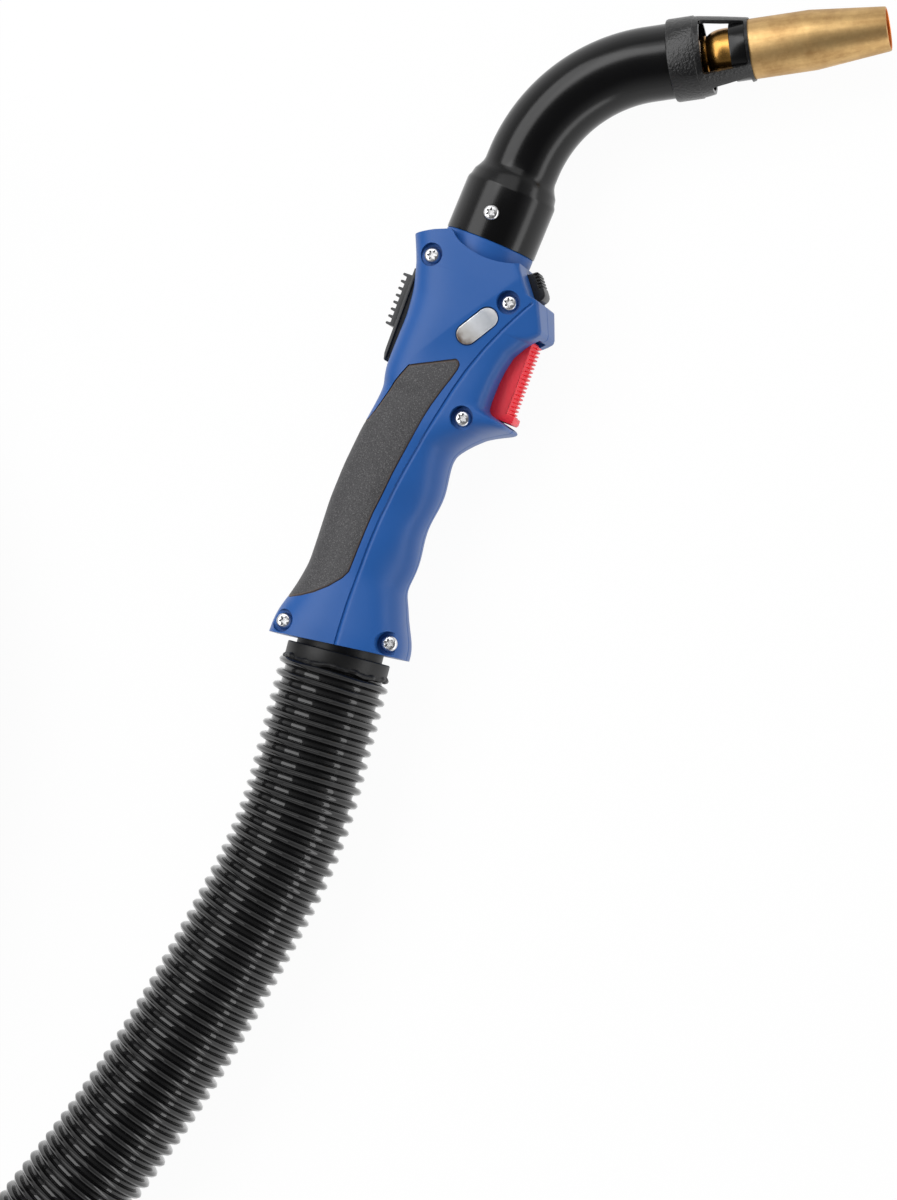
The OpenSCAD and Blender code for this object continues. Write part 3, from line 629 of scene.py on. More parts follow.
def turned_piece(name, place, outline, sides=96, closed=True):
    """A turned piece: a ring drawn out along the place's Y through each [radius, y] of the outline.
    An outline that ends where it starts closes on itself; otherwise its ends are filled. If the piece
    isn't closed, its last ring stays open and selected."""
    r, y = outline[0]
    bpy.ops.mesh.primitive_circle_add(vertices=sides, radius=r * MM, location=place @ Vector((0, y, 0)),
                                      rotation=(place @ ALONG).to_quaternion().to_euler())
    piece = bpy.context.object
    piece.name = name

    def draw_out():
        for (r, y), (next_r, next_y) in zip(outline, outline[1:]):
            on = place.to_3x3() @ Vector((0, next_y - y, 0))
            bpy.ops.mesh.extrude_edges_move(TRANSFORM_OT_translate={"value": on})
            bpy.ops.transform.resize(value=(next_r / r,) * 3, center_override=place @ Vector((0, next_y, 0)))

    in_edit(piece, select_all, draw_out)
    bpy.ops.object.transform_apply(location=True, rotation=True, scale=True)
    if closed:
        close_up(piece)
    return piece


def wrapped(name, rows):
    """A skin over rows of points, from a grid with each of its corners put in place"""
    high, wide = len(rows), len(rows[0])
    bpy.ops.mesh.primitive_grid_add(x_subdivisions=wide - 1, y_subdivisions=high - 1, size=1)
    piece = bpy.context.object
    piece.name = name
    flat = np.asarray(rows, float).reshape(-1, 3)
    piece.data.vertices.foreach_set("co", flat.ravel())
    piece.data.update()
    return piece


def mark(piece, name, values):
    """Gives each vertex a value that the piece's finish reads"""
    piece.data.attributes.new(name, "FLOAT", "POINT").data.foreach_set("value", values)


def cut(piece, *cutters, operation="DIFFERENCE"):
    for cutter in cutters:
        finished(piece, "BOOLEAN", object=cutter, operation=operation, solver="MANIFOLD")
        bpy.data.objects.remove(cutter)
    return piece


# ---------------------------------------------------------------- hose
# Each stretch is [length, turn in degrees], one after the other from the handle's cuff.
HOSE_R, RIB_PITCH = 22.8, 5.2
HOSE_LEN = 3000
CUFF_OUT = 7
HOSE_ROUTE = [[53, 0], [45, -13], [60, -3], [80, -8], [36, 0], [228, -71.5], [176, 0]]
RUN_END = sum(length for length, turn in HOSE_ROUTE)
COIL_R = 244
ONE_TURN = 2 * pi * COIL_R
END_STRAIGHT = 20
COIL_TURNS = (HOSE_LEN - RUN_END - END_STRAIGHT) / ONE_TURN
WHOLE_ROUTE = HOSE_ROUTE + [[ONE_TURN * COIL_TURNS, -360 * COIL_TURNS], [END_STRAIGHT, 0]]
LAYER_H = 2 * HOSE_R + 1.2
CLIMB = [RUN_END + 0.6 * ONE_TURN, RUN_END + 0.97 * ONE_TURN]


def stepped(at, length, turn):
    x, y, h = at
    if not turn:
        return x + length * cos(h), y + length * sin(h), h
    r = length / radians(turn)
    end = h + radians(turn)
    return x + r * (sin(end) - sin(h)), y - r * (cos(end) - cos(h)), end


def pose(s):
    """Place and heading of the hose's middle line at length s, in the handle's axes"""
    at = (*HOSE_EXIT, radians(HOSE_HEADING))
    for length, turn in WHOLE_ROUTE:
        if s <= length or [length, turn] is WHOLE_ROUTE[-1]:
            return stepped(at, s, turn * s / length)
        at = stepped(at, length, turn)
        s -= length
    return stepped(at, s, 0)


def hose_height(s):
    t = min(1.0, max(0.0, (s - CLIMB[0]) / (CLIMB[1] - CLIMB[0])))
    return LAYER_H * t * t * (3 - 2 * t)


def hose_point(s):
    x, y, h = pose(s)
    return HANDLE @ Vector((x, y, hose_height(s)))


# One pitch of the ribbed wall, a round bead and a narrow web: [share of the pitch, radius]
BEAD = [[0.63 - 0.31 * cos(radians(turn)), 20.25 + 2.55 * sin(radians(turn))]
        for turn in (0, 22, 55, 90, 125, 158)]
RIB_FINE = [[0.0, 19.8], [0.14, 19.7], [0.28, 19.8], *BEAD, [0.97, 20.0]]
RIB_PLAIN = [[0.0, 19.9], [0.30, 20.0], [0.45, 22.4], [0.63, 22.8], [0.82, 22.3]]
WEB_R = 20.3                            # what lies within this radius is the web
FINE_TO = 290                           # past the stretch in view, plainer ribs do


def ribbed(first, last, sides, outline, verts, webs):
    """Rows of a left-handed winding: each row goes once round the hose, and on along it by one pitch"""
    per = len(outline)
    start = len(verts)
    low, high = floor(first / RIB_PITCH) - 1, ceil(last / RIB_PITCH) + 1
    rows = 0
    for k in range(low, high):
        for share, r in outline:
            for j in range(sides):
                s = (k + share + j / sides) * RIB_PITCH
                inside = first <= s <= last
                s = min(last, max(first, s))
                radius = r if inside else outline[0][1]
                x, y, h = pose(s)
                a = 2 * pi * j / sides
                out, up = radius * cos(a), radius * sin(a)
                verts.append(HANDLE @ Vector((x + out * sin(h), y - out * cos(h), hose_height(s) + up)))
                webs.append(1.0 if r < WEB_R else 0.0)
            rows += 1
    faces = []
    for i in range(rows - 1):
        for j in range(sides):
            a, b = start + i * sides + j, start + (i + 1) * sides + j
            if j + 1 < sides:
                faces.append((a, a + 1, b + 1, b))
            elif i + 1 + per < rows:
                faces.append((a, start + (i + per) * sides, start + (i + 1 + per) * sides, b))
    return faces


def make_hose():
    verts, webs = [], []
    faces = ribbed(CUFF_OUT, FINE_TO, 60, RIB_FINE, verts, webs)
    faces += ribbed(FINE_TO, HOSE_LEN, 24, RIB_PLAIN, verts, webs)
    data = bpy.data.meshes.new("ribbed_hose")
    data.from_pydata([tuple(v) for v in verts], [], faces)
    hose = bpy.data.objects.new("ribbed_hose", data)
    bpy.context.collection.objects.link(hose)
    mark(hose, "web", webs)
    close_up(hose)
    done(hose, "hose_black", "hose_run", "hose_coil", smooth=50)
    straight = [CUFF_OUT + (RUN_END - CUFF_OUT) * i / 30 for i in range(30)]
    turns = [RUN_END + (HOSE_LEN - RUN_END) * i / 60 for i in range(61)]
    path = [hose_point(s) for s in straight + turns]
    return hose, [tuple(p) for p in path]


hose, hose_path = make_hose()


# ---------------------------------------------------------------- machine end, at the hose's far end
END_X, END_Y, END_H = pose(HOSE_LEN)
END = HANDLE @ moved(END_X, END_Y, LAYER_H) @ turned_by(degrees(END_H) - 90)
PORT = END @ moved(0, 34) @ turned_by(55)
JUNCTION_TO, PLUG_TO = 82, 126
PIN_TURNS, PIN_OUT = (120, 300), 11.4


def make_end_sleeve():
    sleeve = turned_piece("end_sleeve", END, [
        [18.6, 0], [22.0, 0], [22.4, 0.5], [22.4, 4.0], [21.9, 4.4], [21.9, 5.2], [22.4, 5.6], [22.4, 11.5],
        [22.1, 12], [18.6, 12], [18.6, 0]])
    return done(sleeve, "hose_black", "end_cuff")


def make_junction():
    """The hose's run-out to the plug, with the suction port at its side"""
    body = turned_piece("suction_junction", END, [
        [19.8, 12], [22.0, 12], [22.4, 12.5], [22.4, 15.6], [21.8, 16.2], [21.8, 17.2], [22.4, 17.8],
        [22.4, 68.6], [22.1, 70], [17.4, 81.4], [17, JUNCTION_TO], [8.1, JUNCTION_TO], [8.1, 74], [12, 74],
        [12, 66], [19.8, 66], [19.8, 12]])
    port = turned_piece("port", PORT, [
        [16.5, 12], [20, 12], [20, 47.2], [20.5, 47.8], [21, 48.2], [21, 50.6], [20.5, 51], [20, 51.6],
        [20, 55.4], [19.5, 56], [18, 56], [17.5, 55.5], [17.5, 40], [16.5, 40], [16.5, 12]])
    cut(body, port, operation="UNION")

    def bores():
        return bar(PORT @ ALONG, 16.5, 1, 40.5), bar(END @ ALONG, 19.8, 11, 66)

    cut(body, *bores())
    for side in (-1, 1):
        web = plate(PORT @ moved(0, 0, side * 6), [[-19, 8], [-19, 34], [-35, 2.5], [-35, -2]], -1.2, 1.2)
        cut(body, rounded(web, 0.4), operation="UNION")
    cut(body, *bores())
    for k in range(4):
        cut(body, bar(spoke(END, 90 * k + 45, 0, 22), 1.6, 21.8, 30, 24))
    return done(body, "black_plastic", "junction_body")


def make_housing():
    housing = turned_piece("plug_shell", END, [
        [8.1, JUNCTION_TO], [16.7, JUNCTION_TO], [17.1, 82.4], [18.9, 91.6], [19, 92.4], [19, 109],
        [18.5, 109.9], [16, 109.9], [16, 121.9], [16.2, 122], [17.2, 122.2], [17.2, 125.4], [16.7, PLUG_TO],
        [14.6, PLUG_TO], [14.6, 102], [8.1, 102], [8.1, JUNCTION_TO]])
    for k in range(16):
        cut(housing, rounded(bar(spoke(END, 22.5 * k, 19.8) @ ALONG, 1.5, 94, 107, 20), 0.6))
    return done(housing, "black_plastic", "plug_housing")


def make_nut():
    nut = turned_piece("plug_nut_ring", END, [
        [16.1, 110.3], [20.2, 110.3], [21, 111.2], [21, 123.1], [20.2, 124], [17.5, 124], [17.5, 121.7],
        [16.1, 121.7], [16.1, 110.3]])
    for k in range(12):
        rib = bar(spoke(END, 30 * k, 20.4) @ ALONG, 1.6, 110.9, 123.4, 24)
        cut(nut, rounded(rib, 0.5), operation="UNION")
    return done(nut, "black_plastic", "plug_nut", body="plug_nut")


def make_insert():
    insert = turned_piece("plug_face", END, [
        [8, 102], [14.5, 102], [14.5, 125.5], [14, PLUG_TO], [9.2, PLUG_TO], [9.0, 125.6], [8, 125.6],
        [8, 102]])
    for turn in PIN_TURNS:
        cut(insert, bar(spoke(END, turn, PIN_OUT) @ ALONG, 1.95, 90, 130, 32))
    return done(insert, "insert_cream", "plug_insert")


def make_contacts():
    spigot = turned_piece("plug_pins", END, [
        [2.35, 66], [7.95, 66], [7.95, 125.4], [7.5, PLUG_TO], [4.9, PLUG_TO], [4.9, 127], [5.3, 127],
        [5.5, 127.3], [5.5, 137.5], [5.1, 137.8], [5.1, 139.2], [5.5, 139.5], [5.5, 143], [4.7, 144],
        [2.8, 144], [2.35, 143.5], [2.35, 66]], 64)
    pins = [rounded(bar(spoke(END, turn, PIN_OUT) @ ALONG, 1.85, 106, 135, 24), 0.7, 3) for turn in PIN_TURNS]
    return done(joined("plug_pins", spigot, *pins), "brass", "plug_contacts")


def make_tie():
    """A strap round both layers of the coil, with its buckle inside the ring"""
    x, y, h = pose(RUN_END + 3 * (HOSE_LEN - RUN_END) / 36)
    place = HANDLE @ moved(x, y) @ turned_by(degrees(h)) @ turned_by(-90, "Y")

    def loop(r):
        turns = [pi / 2 + pi * k / 24 for k in range(25)]
        low = [[r * cos(a), r * sin(a)] for a in turns]
        return low + [[LAYER_H - u, -v] for u, v in low]

    strap = plate(place, loop(HOSE_R + 0.8), -10, 10, "hose_strap")
    cut(strap, plate(place, loop(HOSE_R + 0.12), -12, 12))
    buckle = rounded(block(place, (14, -HOSE_R - 3.2, -12.5), (33, -HOSE_R - 0.4, 12.5)), 0.8, 3)
    cut(buckle, block(place, (17, -HOSE_R - 5, -10.2), (21.5, -HOSE_R - 0.9, 10.2)),
        block(place, (25.5, -HOSE_R - 5, -10.2), (30, -HOSE_R - 0.9, 10.2)))
    return done(joined("hose_strap", strap, buckle), "tie_grey", "coil_tie")


on_hose = [make_tie(), make_end_sleeve(), make_junction(), make_housing(), make_nut(), make_insert(),
           make_contacts()]
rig.cord(hose, exit=hose_path[0], length=(HOSE_LEN - CUFF_OUT) * MM, diameter=2 * HOSE_R * MM,
        far_end="plug", stiffness="stiff", lay="coiled", path=hose_path, with_pieces=on_hose)


# ---------------------------------------------------------------- handle
# Outlines of the handle as [y, x]: front and back edge, and half its thickness
SWELL = [[y, 17.6 + 0.85 * cos(2 * pi * (y - 40) / 30)] for y in range(30, 90, 2)]
FRONT = [[-8, 27], [5, 27.2], [8, 27], [12, 25.6], [16, 23.5], [20, 21.5], [25, 19.6], *SWELL,
         [90, 18.6], [94, 21.7], [98, 26], [101, 31], [103.4, 35.4], [104.6, 36.2], [105.8, 34.8],
         [106.6, 31], [107.8, 27], [109.4, 25.9], [113, 25.7], [120, 25.9], [126, 26.6], [132, 28],
         [137, 31], [139.5, 33], [141.6, 35], [143.6, 36.6], [145.2, 36.5], [156, 31.8], [156.5, 27.8],
         [165, 21.2], [168, 19.6], [173.4, 18.6]]
BACK = [[-8, -28], [3, -28.1], [8, -27.3], [14, -25.4], [20, -24], [28, -22.8], [40, -23.2], [55, -23.8],
        [70, -23.2], [86, -21.4], [98, -19], [104, -18.2], [112, -19.8], [122, -19.4], [134, -18.8],
        [145, -19.9], [156, -22.8], [164, -26.2], [168, -28.2], [173.4, -28.2]]
HALF = [[-8, 23.6], [5, 23.6], [14, 22.2], [30, 19.8], [55, 19.3], [86, 19.8], [108, 21.2], [130, 22],
        [156, 22], [166, 21.3], [173.4, 20.4]]
# How square the section's front and back are, as [y, power]: 2 is an ellipse
SQUARE_FRONT = [[0, 3], [30, 2.5], [88, 2.5], [100, 3.4], [107, 6.5], [139, 6.5], [143, 22], [168, 26],
                [173, 12]]
SQUARE_BACK = [[0, 3], [30, 2.5], [88, 2.5], [108, 3.4], [173, 3.8]]
# Crease and parting groove on the side as [y, x], and the groove's section as [x off its middle, depth]
CREASE = [[104, -17], [112.9, -11.3], [119.5, -7.3], [126.5, -2.3], [133.9, 2.5], [143.9, 9.5],
          [152.4, 16], [157.6, 19.5], [163.2, 23.8], [175, 33]]
GROOVE = [[-9, 4], [6, 2.6], [18, 1.6], [30, 1.2], [42, 1.2], [54, 1.6], [66, 2.8], [78, 4.8], [90, 7],
          [100, 9.4], [111, 12], [121, 14.6], [131, 18], [141, 22.4], [150.6, 27.6], [156.5, 31.5]]
GROOVE_SHAPE = [[1.3, 0], [0.9, 0.1], [0.38, 0.45], [0.0, 0.7], [-0.24, 0.58], [-0.5, 0]]
SLOPE, SLOPE_FROM, SLOPE_OVER = 0.21, 110, 34   # fall of the side towards the trigger, past the crease
CRISP_FROM, CRISP_OVER = 92, 8          # above the grip the front edge has crisp corners
GROOVE_END = 153.6
BASE = HANDLE @ moved(0, 0.6) @ turned_by(7.9)


def line(points, ys, soft):
    """Values at ys on the line through [y, value] points, rounded over soft millimetres"""
    fine = np.arange(-40, 210, 0.1)
    raw = np.interp(fine, *np.transpose(points))
    reach = np.arange(-3 * soft, 3 * soft + 0.05, 0.1)
    weight = np.exp(-0.5 * (reach / soft) ** 2)
    half = len(reach) // 2
    padded = np.pad(raw, half, mode="edge")
    smooth = np.convolve(padded, weight / weight.sum(), mode="valid")
    return np.interp(ys, fine[:len(smooth)], smooth[:len(fine)])


def eased(t):
    t = np.clip(t, 0, 1)
    return t * t * (3 - 2 * t)


class Body:
    """The handle's side at closely spaced heights, as lines from its front edge over to its back edge"""

    def __init__(self, ys, sink=0.0):
        self.ys = np.asarray(ys, float)
        share = eased((self.ys - CRISP_FROM) / CRISP_OVER)
        soft, crisp = line(FRONT, self.ys, 2.2), line(FRONT, self.ys, 0.3)
        self.front = soft * (1 - share) + crisp * share - sink
        self.back = line(BACK, self.ys, 2.2) + sink
        self.half = line(HALF, self.ys, 2.2) - sink
        crease = line(CREASE, self.ys, 1.5)
        fall = SLOPE * eased((self.ys - SLOPE_FROM) / SLOPE_OVER)
        angle = np.linspace(0, pi, 721)
        self.x, self.z, self.run = [], [], []
        for i, y in enumerate(self.ys):
            mid = (self.front[i] + self.back[i]) / 2
            rx, rz = (self.front[i] - self.back[i]) / 2, self.half[i]
            power = np.where(angle < pi / 2, np.interp(y, *np.transpose(SQUARE_FRONT)),
                             np.interp(y, *np.transpose(SQUARE_BACK)))
            c, s = np.cos(angle), np.sin(angle)
            r = (np.abs(c / rx) ** power + np.abs(s / rz) ** power) ** (-1 / power)
            x, z = r * c, r * s
            past = x + mid - crease[i]
            drop = fall[i] * 0.5 * (past + np.sqrt(past ** 2 + 0.02))
            z = z * (1 - drop / rz)
            x = mid + x * (1 - 0.010 * np.clip(1 - z / 0.5, 0, 1))
            for dent_x, dent_y, deep in DENTS:
                near = np.exp(-((x - dent_x) ** 2 + (y - dent_y) ** 2) / DENT_SPREAD)
                z = z - deep * near * np.clip(z / 6, 0, 1)
            self.x.append(x)
            self.z.append(z)
            self.run.append(np.concatenate([[0], np.cumsum(np.hypot(np.diff(x), np.diff(z)))]))

    def reach(self, i, x):
        """How far along row i's line x is met"""
        return float(np.interp(-x, -self.x[i], self.run[i]))

    def points(self, i, reach):
        return np.stack([np.interp(reach, self.run[i], self.x[i]), np.full(len(reach), self.ys[i]),
                         np.interp(reach, self.run[i], self.z[i])], axis=1)


def to_rest(rows, side=1):
    """Rows of the handle's points in the frame, or their mirror image on the far side"""
    flat = np.asarray(rows, float) * (1, 1, side) + REST
    return flat * MM


def handle_half(name, side):
    """One shell as a full half body, with the parting groove that runs from base to slope"""
    ys = sorted({*np.arange(-8, 173.5, 0.55).round(3), *np.arange(103, 108, 0.25), *np.arange(138, 146, 0.3),
                 *np.arange(155.4, 157, 0.15), 173.4})
    body = Body(ys)
    groove = line(GROOVE, body.ys, 1.5)
    rows = []
    for i, y in enumerate(body.ys):
        depth = float(1 - eased((y - GROOVE_END) / 1.6))
        middle = min(groove[i], body.front[i] - 2.2)
        marks = [body.reach(i, middle + off) for off, sunk in GROOVE_SHAPE]
        front = np.linspace(0, marks[0], 44)[:-1]
        rest = np.linspace(marks[-1], body.run[i][-1], 104)[1:]
        reach = np.concatenate([front, marks, rest])
        points = body.points(i, reach)
        for k, (off, sunk) in enumerate(GROOVE_SHAPE):
            points[len(front) + k, 2] -= sunk * depth
        rows.append(np.vstack([points, points[:1]]))
    piece = wrapped(name, to_rest(rows, side))
    close_up(piece, 1e-7)
    return piece


# Grip pad's outline as [y, x], without the straight edge at the back
PAD_RIGHT = [[12.6, -23], [14.6, -18], [17.6, -13], [21.8, -8], [26.6, -4], [30, -2.4], [40, -2.2],
             [55, -1.6], [72, 0.4], [86, 2.6], [97, 4.6], [103, 6.1], [110, 8.3], [115, 10], [119.6, 11.3],
             [121.6, 11.3], [122.9, 10.4], [123.4, 9.2]]
PAD_LEFT = [[86, -27], [88, -21.5], [90, -18.2], [93.5, -16.4], [98, -14.8], [106.5, -12], [115, -8.2],
            [118.9, 0], [123.4, 9.1]]
PAD_LOW = 12.6
PAD_GAP = 0.12


def pad_outline(grow=0.0):
    """The pad's closed outline, from the back over its lower edge, up its front and down its left edge"""
    right = [[x + grow, y - grow * (y < 20) + grow * (y > 121)] for y, x in PAD_RIGHT]
    left = [[x - grow, y + grow] for y, x in PAD_LEFT[::-1]]
    return [[-60, PAD_LOW - grow]] + right + left + [[-60, 86 + grow]]


def edge_distance(points, outline):
    """Distance of each plan point to the nearest edge of the outline, but for its edge at the back"""
    best = np.full(len(points), 1e9)
    for (ax, ay), (bx, by) in zip(outline[:-1], outline[1:]):
        a, way = np.array([ax, ay]), np.array([bx - ax, by - ay])
        t = np.clip(((points - a) @ way) / max(way @ way, 1e-9), 0, 1)
        best = np.minimum(best, np.linalg.norm(points - a - t[:, None] * way, axis=1))
    return best


# Screws as [x, y, height of the head's seat]
SCREWS = [[-15, 159.3, 17], [21.2, 151.3, 17.6], [19.2, 102.3, 16.8], [-21.4, 2.8, 14.6], [21.7, 8.6, 13.6]]
HEAD_R = 3.25
BADGE = HANDLE @ moved(*BADGE_AT) @ turned_by(9, "Y") @ turned_by(BADGE_DEG)
BUTTON = HANDLE @ moved(20, 166) @ turned_by(-52.7)
PIVOT = [25, 136.4]
# Upper edge of the shells as [x, y]
SCOOP = [[-60, 151.5], [-22.9, 166.6], [-17.4, 169.2], [-10.9, 171.6], [-9.6, 170.6], [-8.3, 169.4],
         [-5.5, 167.7], [-2.8, 166.7], [0, 165.9], [3, 165.3], [5.8, 165.0], [9, 165.0], [12.1, 165.2],
         [15, 165.7], [17.6, 166.4], [19.9, 167.4], [60, 167.4]]
DENTS = [[9.5, 62, 2.4], [14.5, 37, 2.2]]     # finger hollows on the sides: x, y, depth
DENT_SPREAD = 80                        # square of a hollow's width


def capsule(size, grow=0.0, steps=14):
    """Outline of a bar with round ends"""
    r = size[1] / 2 + grow
    straight = (size[0] - size[1]) / 2
    return [[side * straight + r * sin(pi * k / steps) * side, -side * r * cos(pi * k / steps)]
            for side in (1, -1) for k in range(steps + 1)]


def inner_rows(ys, sink, count):
    """The half body at some depth under the handle's skin"""
    body = Body(ys, sink)
    return [body.points(i, np.linspace(0, body.run[i][-1], count)) for i in range(len(body.ys))]


# Front edge of the shells' hollow as [y, x]
ROOM_FRONT = [[14, 17], [28, 15], [55, 13.2], [86, 13.6], [104, 17], [112, 20.3], [134, 21.5], [150, 19.5],
              [158, 15.5]]


def room(side):
    """The hollow of a shell, less the pillars that the screws go through"""
    rows = []
    for points in inner_rows(np.arange(14, 158.5, 3.0), 4.2, 48):
        points[:, 0] = np.minimum(points[:, 0], np.interp(points[0, 1], *np.transpose(ROOM_FRONT)))
        low = points.copy()
        low[:, 2] = -1
        rows.append(np.vstack([points, low[-1:], low[:1], points[:1]]))
    hollow = wrapped("hollow", to_rest(rows, side))
    close_up(hollow, 1e-7)
    for x, y, z in SCREWS:
        cut(hollow, bar(HANDLE @ moved(x, y), 4.4, -60, 60, 32))
    return hollow


def handle_openings():
    """Tools for every way into the handle"""
    yield block(HANDLE, (12, 105.2, -6.8), (60, 142, 6.8))
    yield block(BUTTON, (1.1, -5, -5.7), (13.5, 9, 5.7))
    yield block(HANDLE, (-60, 115.5, -7), (-16.2, 151.5, 7))
    yield block(HANDLE, (-60, 123.3, -3.9), (-14.2, 149.5, 3.9))
    yield block(HANDLE, (-60, 114, -8), (-21.2, 153, 8))
    yield bar(NECK @ ALONG, 18.45, -7.4, 60, 128)
    yield bar(NECK @ ALONG, 13, -20, 5)
    yield bar(HOSE_START @ ALONG, 18.45, -14, 60)
    yield bar(HOSE_START @ ALONG, 16, -18, 60)
    yield bar(HANDLE @ moved(*PIVOT), 1.55, -11, 11, 32)
    yield block(BASE, (-70, -60, -60), (70, 0, 60))


def pad_seat(side):
    """What a shell leaves free for its grip pad"""
    seat = plate(HANDLE, pad_outline(PAD_GAP), min(0, side * 60), max(0, side * 60))
    rows = [np.vstack([points, points[:1]]) for points in inner_rows(np.arange(-12, 173.5, 2.0), 1.25, 60)]
    bottom = wrapped("seat_bottom", to_rest(rows, side))
    close_up(bottom, 1e-7)
    return cut(seat, bottom)


def make_shell(name, side, node):
    shell = handle_half(name, side)
    cut(shell, room(side), pad_seat(side), *handle_openings())
    outside = [[-60, 180]] + SCOOP + [[60, 180]]
    cut(shell, plate(HANDLE, outside, -60, 60))
    corner = HANDLE @ moved(21.1, 164.9, 21.0 * side) @ turned_by(-29.1) @ turned_by(-45 * side, "X")
    cut(shell, corner_block(corner, (-9, -8), (3.7, 9), 6, side))
    if side > 0:
        for x, y, z in SCREWS:
            cut(shell, bar(HANDLE @ moved(x, y), HEAD_R + 1.5, z, 60, 48),
                bar(HANDLE @ moved(x, y), 1.95, 0, 60, 24))
        cut(shell, plate(BADGE, capsule(BADGE_SIZE, 0.4), 0, 12))
    done(shell, "blue_shell", node, smooth=32)


make_shell("near_shell", 1, "handle_shell_near")
make_shell("far_shell", -1, "handle_shell_far")


def make_pad(name, side, node):
    """Soft inlay: a skin that rolls down at its edges, with its thickness below"""
    ys = sorted({*np.arange(PAD_LOW, 123.3, 0.6).round(3), *np.arange(85.8, 90, 0.2).round(3), 123.3})
    body = Body(ys)
    outline = pad_outline(-PAD_GAP)
    near_edge = [0, 0.1, 0.22, 0.38, 0.6, 0.9, 1.3]
    rows, rim = [], []
    for i, y in enumerate(body.ys):
        right = body.reach(i, np.interp(y, *np.transpose(PAD_RIGHT)) - PAD_GAP)
        left = body.run[i][-1]
        if y > 86.1:
            left = min(left, body.reach(i, np.interp(y, *np.transpose(PAD_LEFT)) + PAD_GAP))
        wide = left - right
        edge = np.array(near_edge) * min(1.0, wide / 4)
        reach = np.concatenate([right + edge, np.linspace(right + edge[-1], left - edge[-1], 62)[1:-1],
                                left - edge[::-1]])
        points = body.points(i, reach)
        away = edge_distance(points[:, :2], outline)
        roll = 1.0 - np.sqrt(np.clip(1 - (1 - np.clip(away / 1.0, 0, 1)) ** 2, 0, 1))
        dent = 0.9 * np.exp(-((points[:, 0] + 1) ** 2 + (y - 91) ** 2) / DENT_SPREAD)
        scale = 1 - (0.85 * roll + dent - 0.12 * eased(away / 4)) / body.half[i]
        points[:, 2] *= scale
        points[:, 0] = points[:, 0] * (1 - 0.02 * (1 - np.clip(points[:, 2] / 0.6, 0, 1)))
        rows.append(points)
        rim.append(1 - eased((away - 0.35) / 0.5))
    pad = wrapped(name, to_rest(rows, side))
    mark(pad, "rim", np.concatenate(rim))
    in_edit(pad, select_all, face_outward)
    top = max(pad.data.polygons, key=lambda f: f.center.z * side)
    if top.normal.z * side < 0:
        in_edit(pad, select_all, bpy.ops.mesh.flip_normals)
    finished(pad, "SOLIDIFY", thickness=1.0 * MM, offset=-1.0)
    done(pad, "grip_rubber", node, smooth=60)


make_pad("near_grip_pad", 1, "grip_pad_near")
make_pad("far_grip_pad", -1, "grip_pad_far")


# ---------------------------------------------------------------- screws, badge and controls
def star(r, deep=0.42, lobes=6, steps=8):
    """Outline of a six-lobed driver"""
    turns = [2 * pi * k / (lobes * steps) for k in range(lobes * steps)]
    reach = [r * (1 - deep * (0.5 - 0.5 * cos(lobes * a))) for a in turns]
    return [[d * cos(a), d * sin(a)] for d, a in zip(reach, turns)]


def screw_at(place, r, tall):
    """A pan head with a six-lobed recess and a stub of its shank"""
    head = turned_piece("screw", place @ turned_by(90, "X"),
                        [[1.9, -6], [1.9, 0], [r - 0.2, 0], [r, 0.25], [r, tall * 0.42],
                         [r - 0.14, tall * 0.62], [r - 0.5, tall * 0.82], [r - 1.1, tall * 0.94],
                         [r * 0.35, tall]], 48)
    cut(head, plate(place @ turned_by(17), star(r * 0.64), tall - 1.5, tall + 2))
    return rounded(head, 0.08, 1, 40)


def make_screws():
    heads = [screw_at(HANDLE @ moved(x, y, z) @ turned_by(40 * i), HEAD_R, 2.2)
             for i, (x, y, z) in enumerate(SCREWS)]
    shanks = [bar(HANDLE @ moved(x, y), 1.85, -12, z - 2, 24) for x, y, z in SCREWS]
    done(joined("handle_screw_set", *heads, *shanks), "steel", "handle_screws", smooth=30)


def make_badge():
    badge = plate(BADGE, capsule(BADGE_SIZE, 0.0, 24), 0.2, 1.7, "side_badge")
    rounded(badge, 0.35, 3, 40)
    done(badge, "badge_silver", "badge", smooth=40)


def make_trigger():
    """A blade with a row of teeth down its face, whose ends are cut back on both sides"""
    teeth, first, last, face, tall = 18, 110.4, 140.2, 33.1, 1.95
    pitch = (last - first) / teeth
    outline = [[22.6, 108.6], [24.6, 107.2], [face, 106.9], [face + 2.5, 106.9], [face + 3.1, 107.6],
               [face + 3.1, 109.6], [face + 2.4, first]]
    for i in range(teeth):
        outline += [[face + u * tall, first + (i + t) * pitch] for u, t in
                    [[0.0, 0.04], [0.9, 0.34], [1.0, 0.5], [0.9, 0.66], [0.0, 0.94]]]
    outline += [[face - 0.4, 140.7], [31.4, 140.9], [23.4, 140.9], [21.6, 138], [21.2, 128]]
    trigger = plate(HANDLE, outline, -6.5, 6.5, "trigger_blade")
    for side in (1, -1):
        corner = HANDLE @ moved(face - 0.3, 0, 6.5 * side) @ turned_by(side * 50, "Y")
        cut(trigger, corner_block(corner, (-8, first - 0.4), (8, last + 0.4), 6, side))
    rounded(trigger, 0.16, 2, 25)
    cut(trigger, bar(HANDLE @ moved(*PIVOT), 1.55, -20, 20, 32),
        block(HANDLE, (0, 112, -4.9), (29.8, 131, 4.9)))
    cut(trigger, block(HANDLE, (17.7, 120.4, -1.5), (31, 122.4, 1.5)), operation="UNION")
    done(trigger, "red_plastic", "trigger", body="trigger", smooth=30)


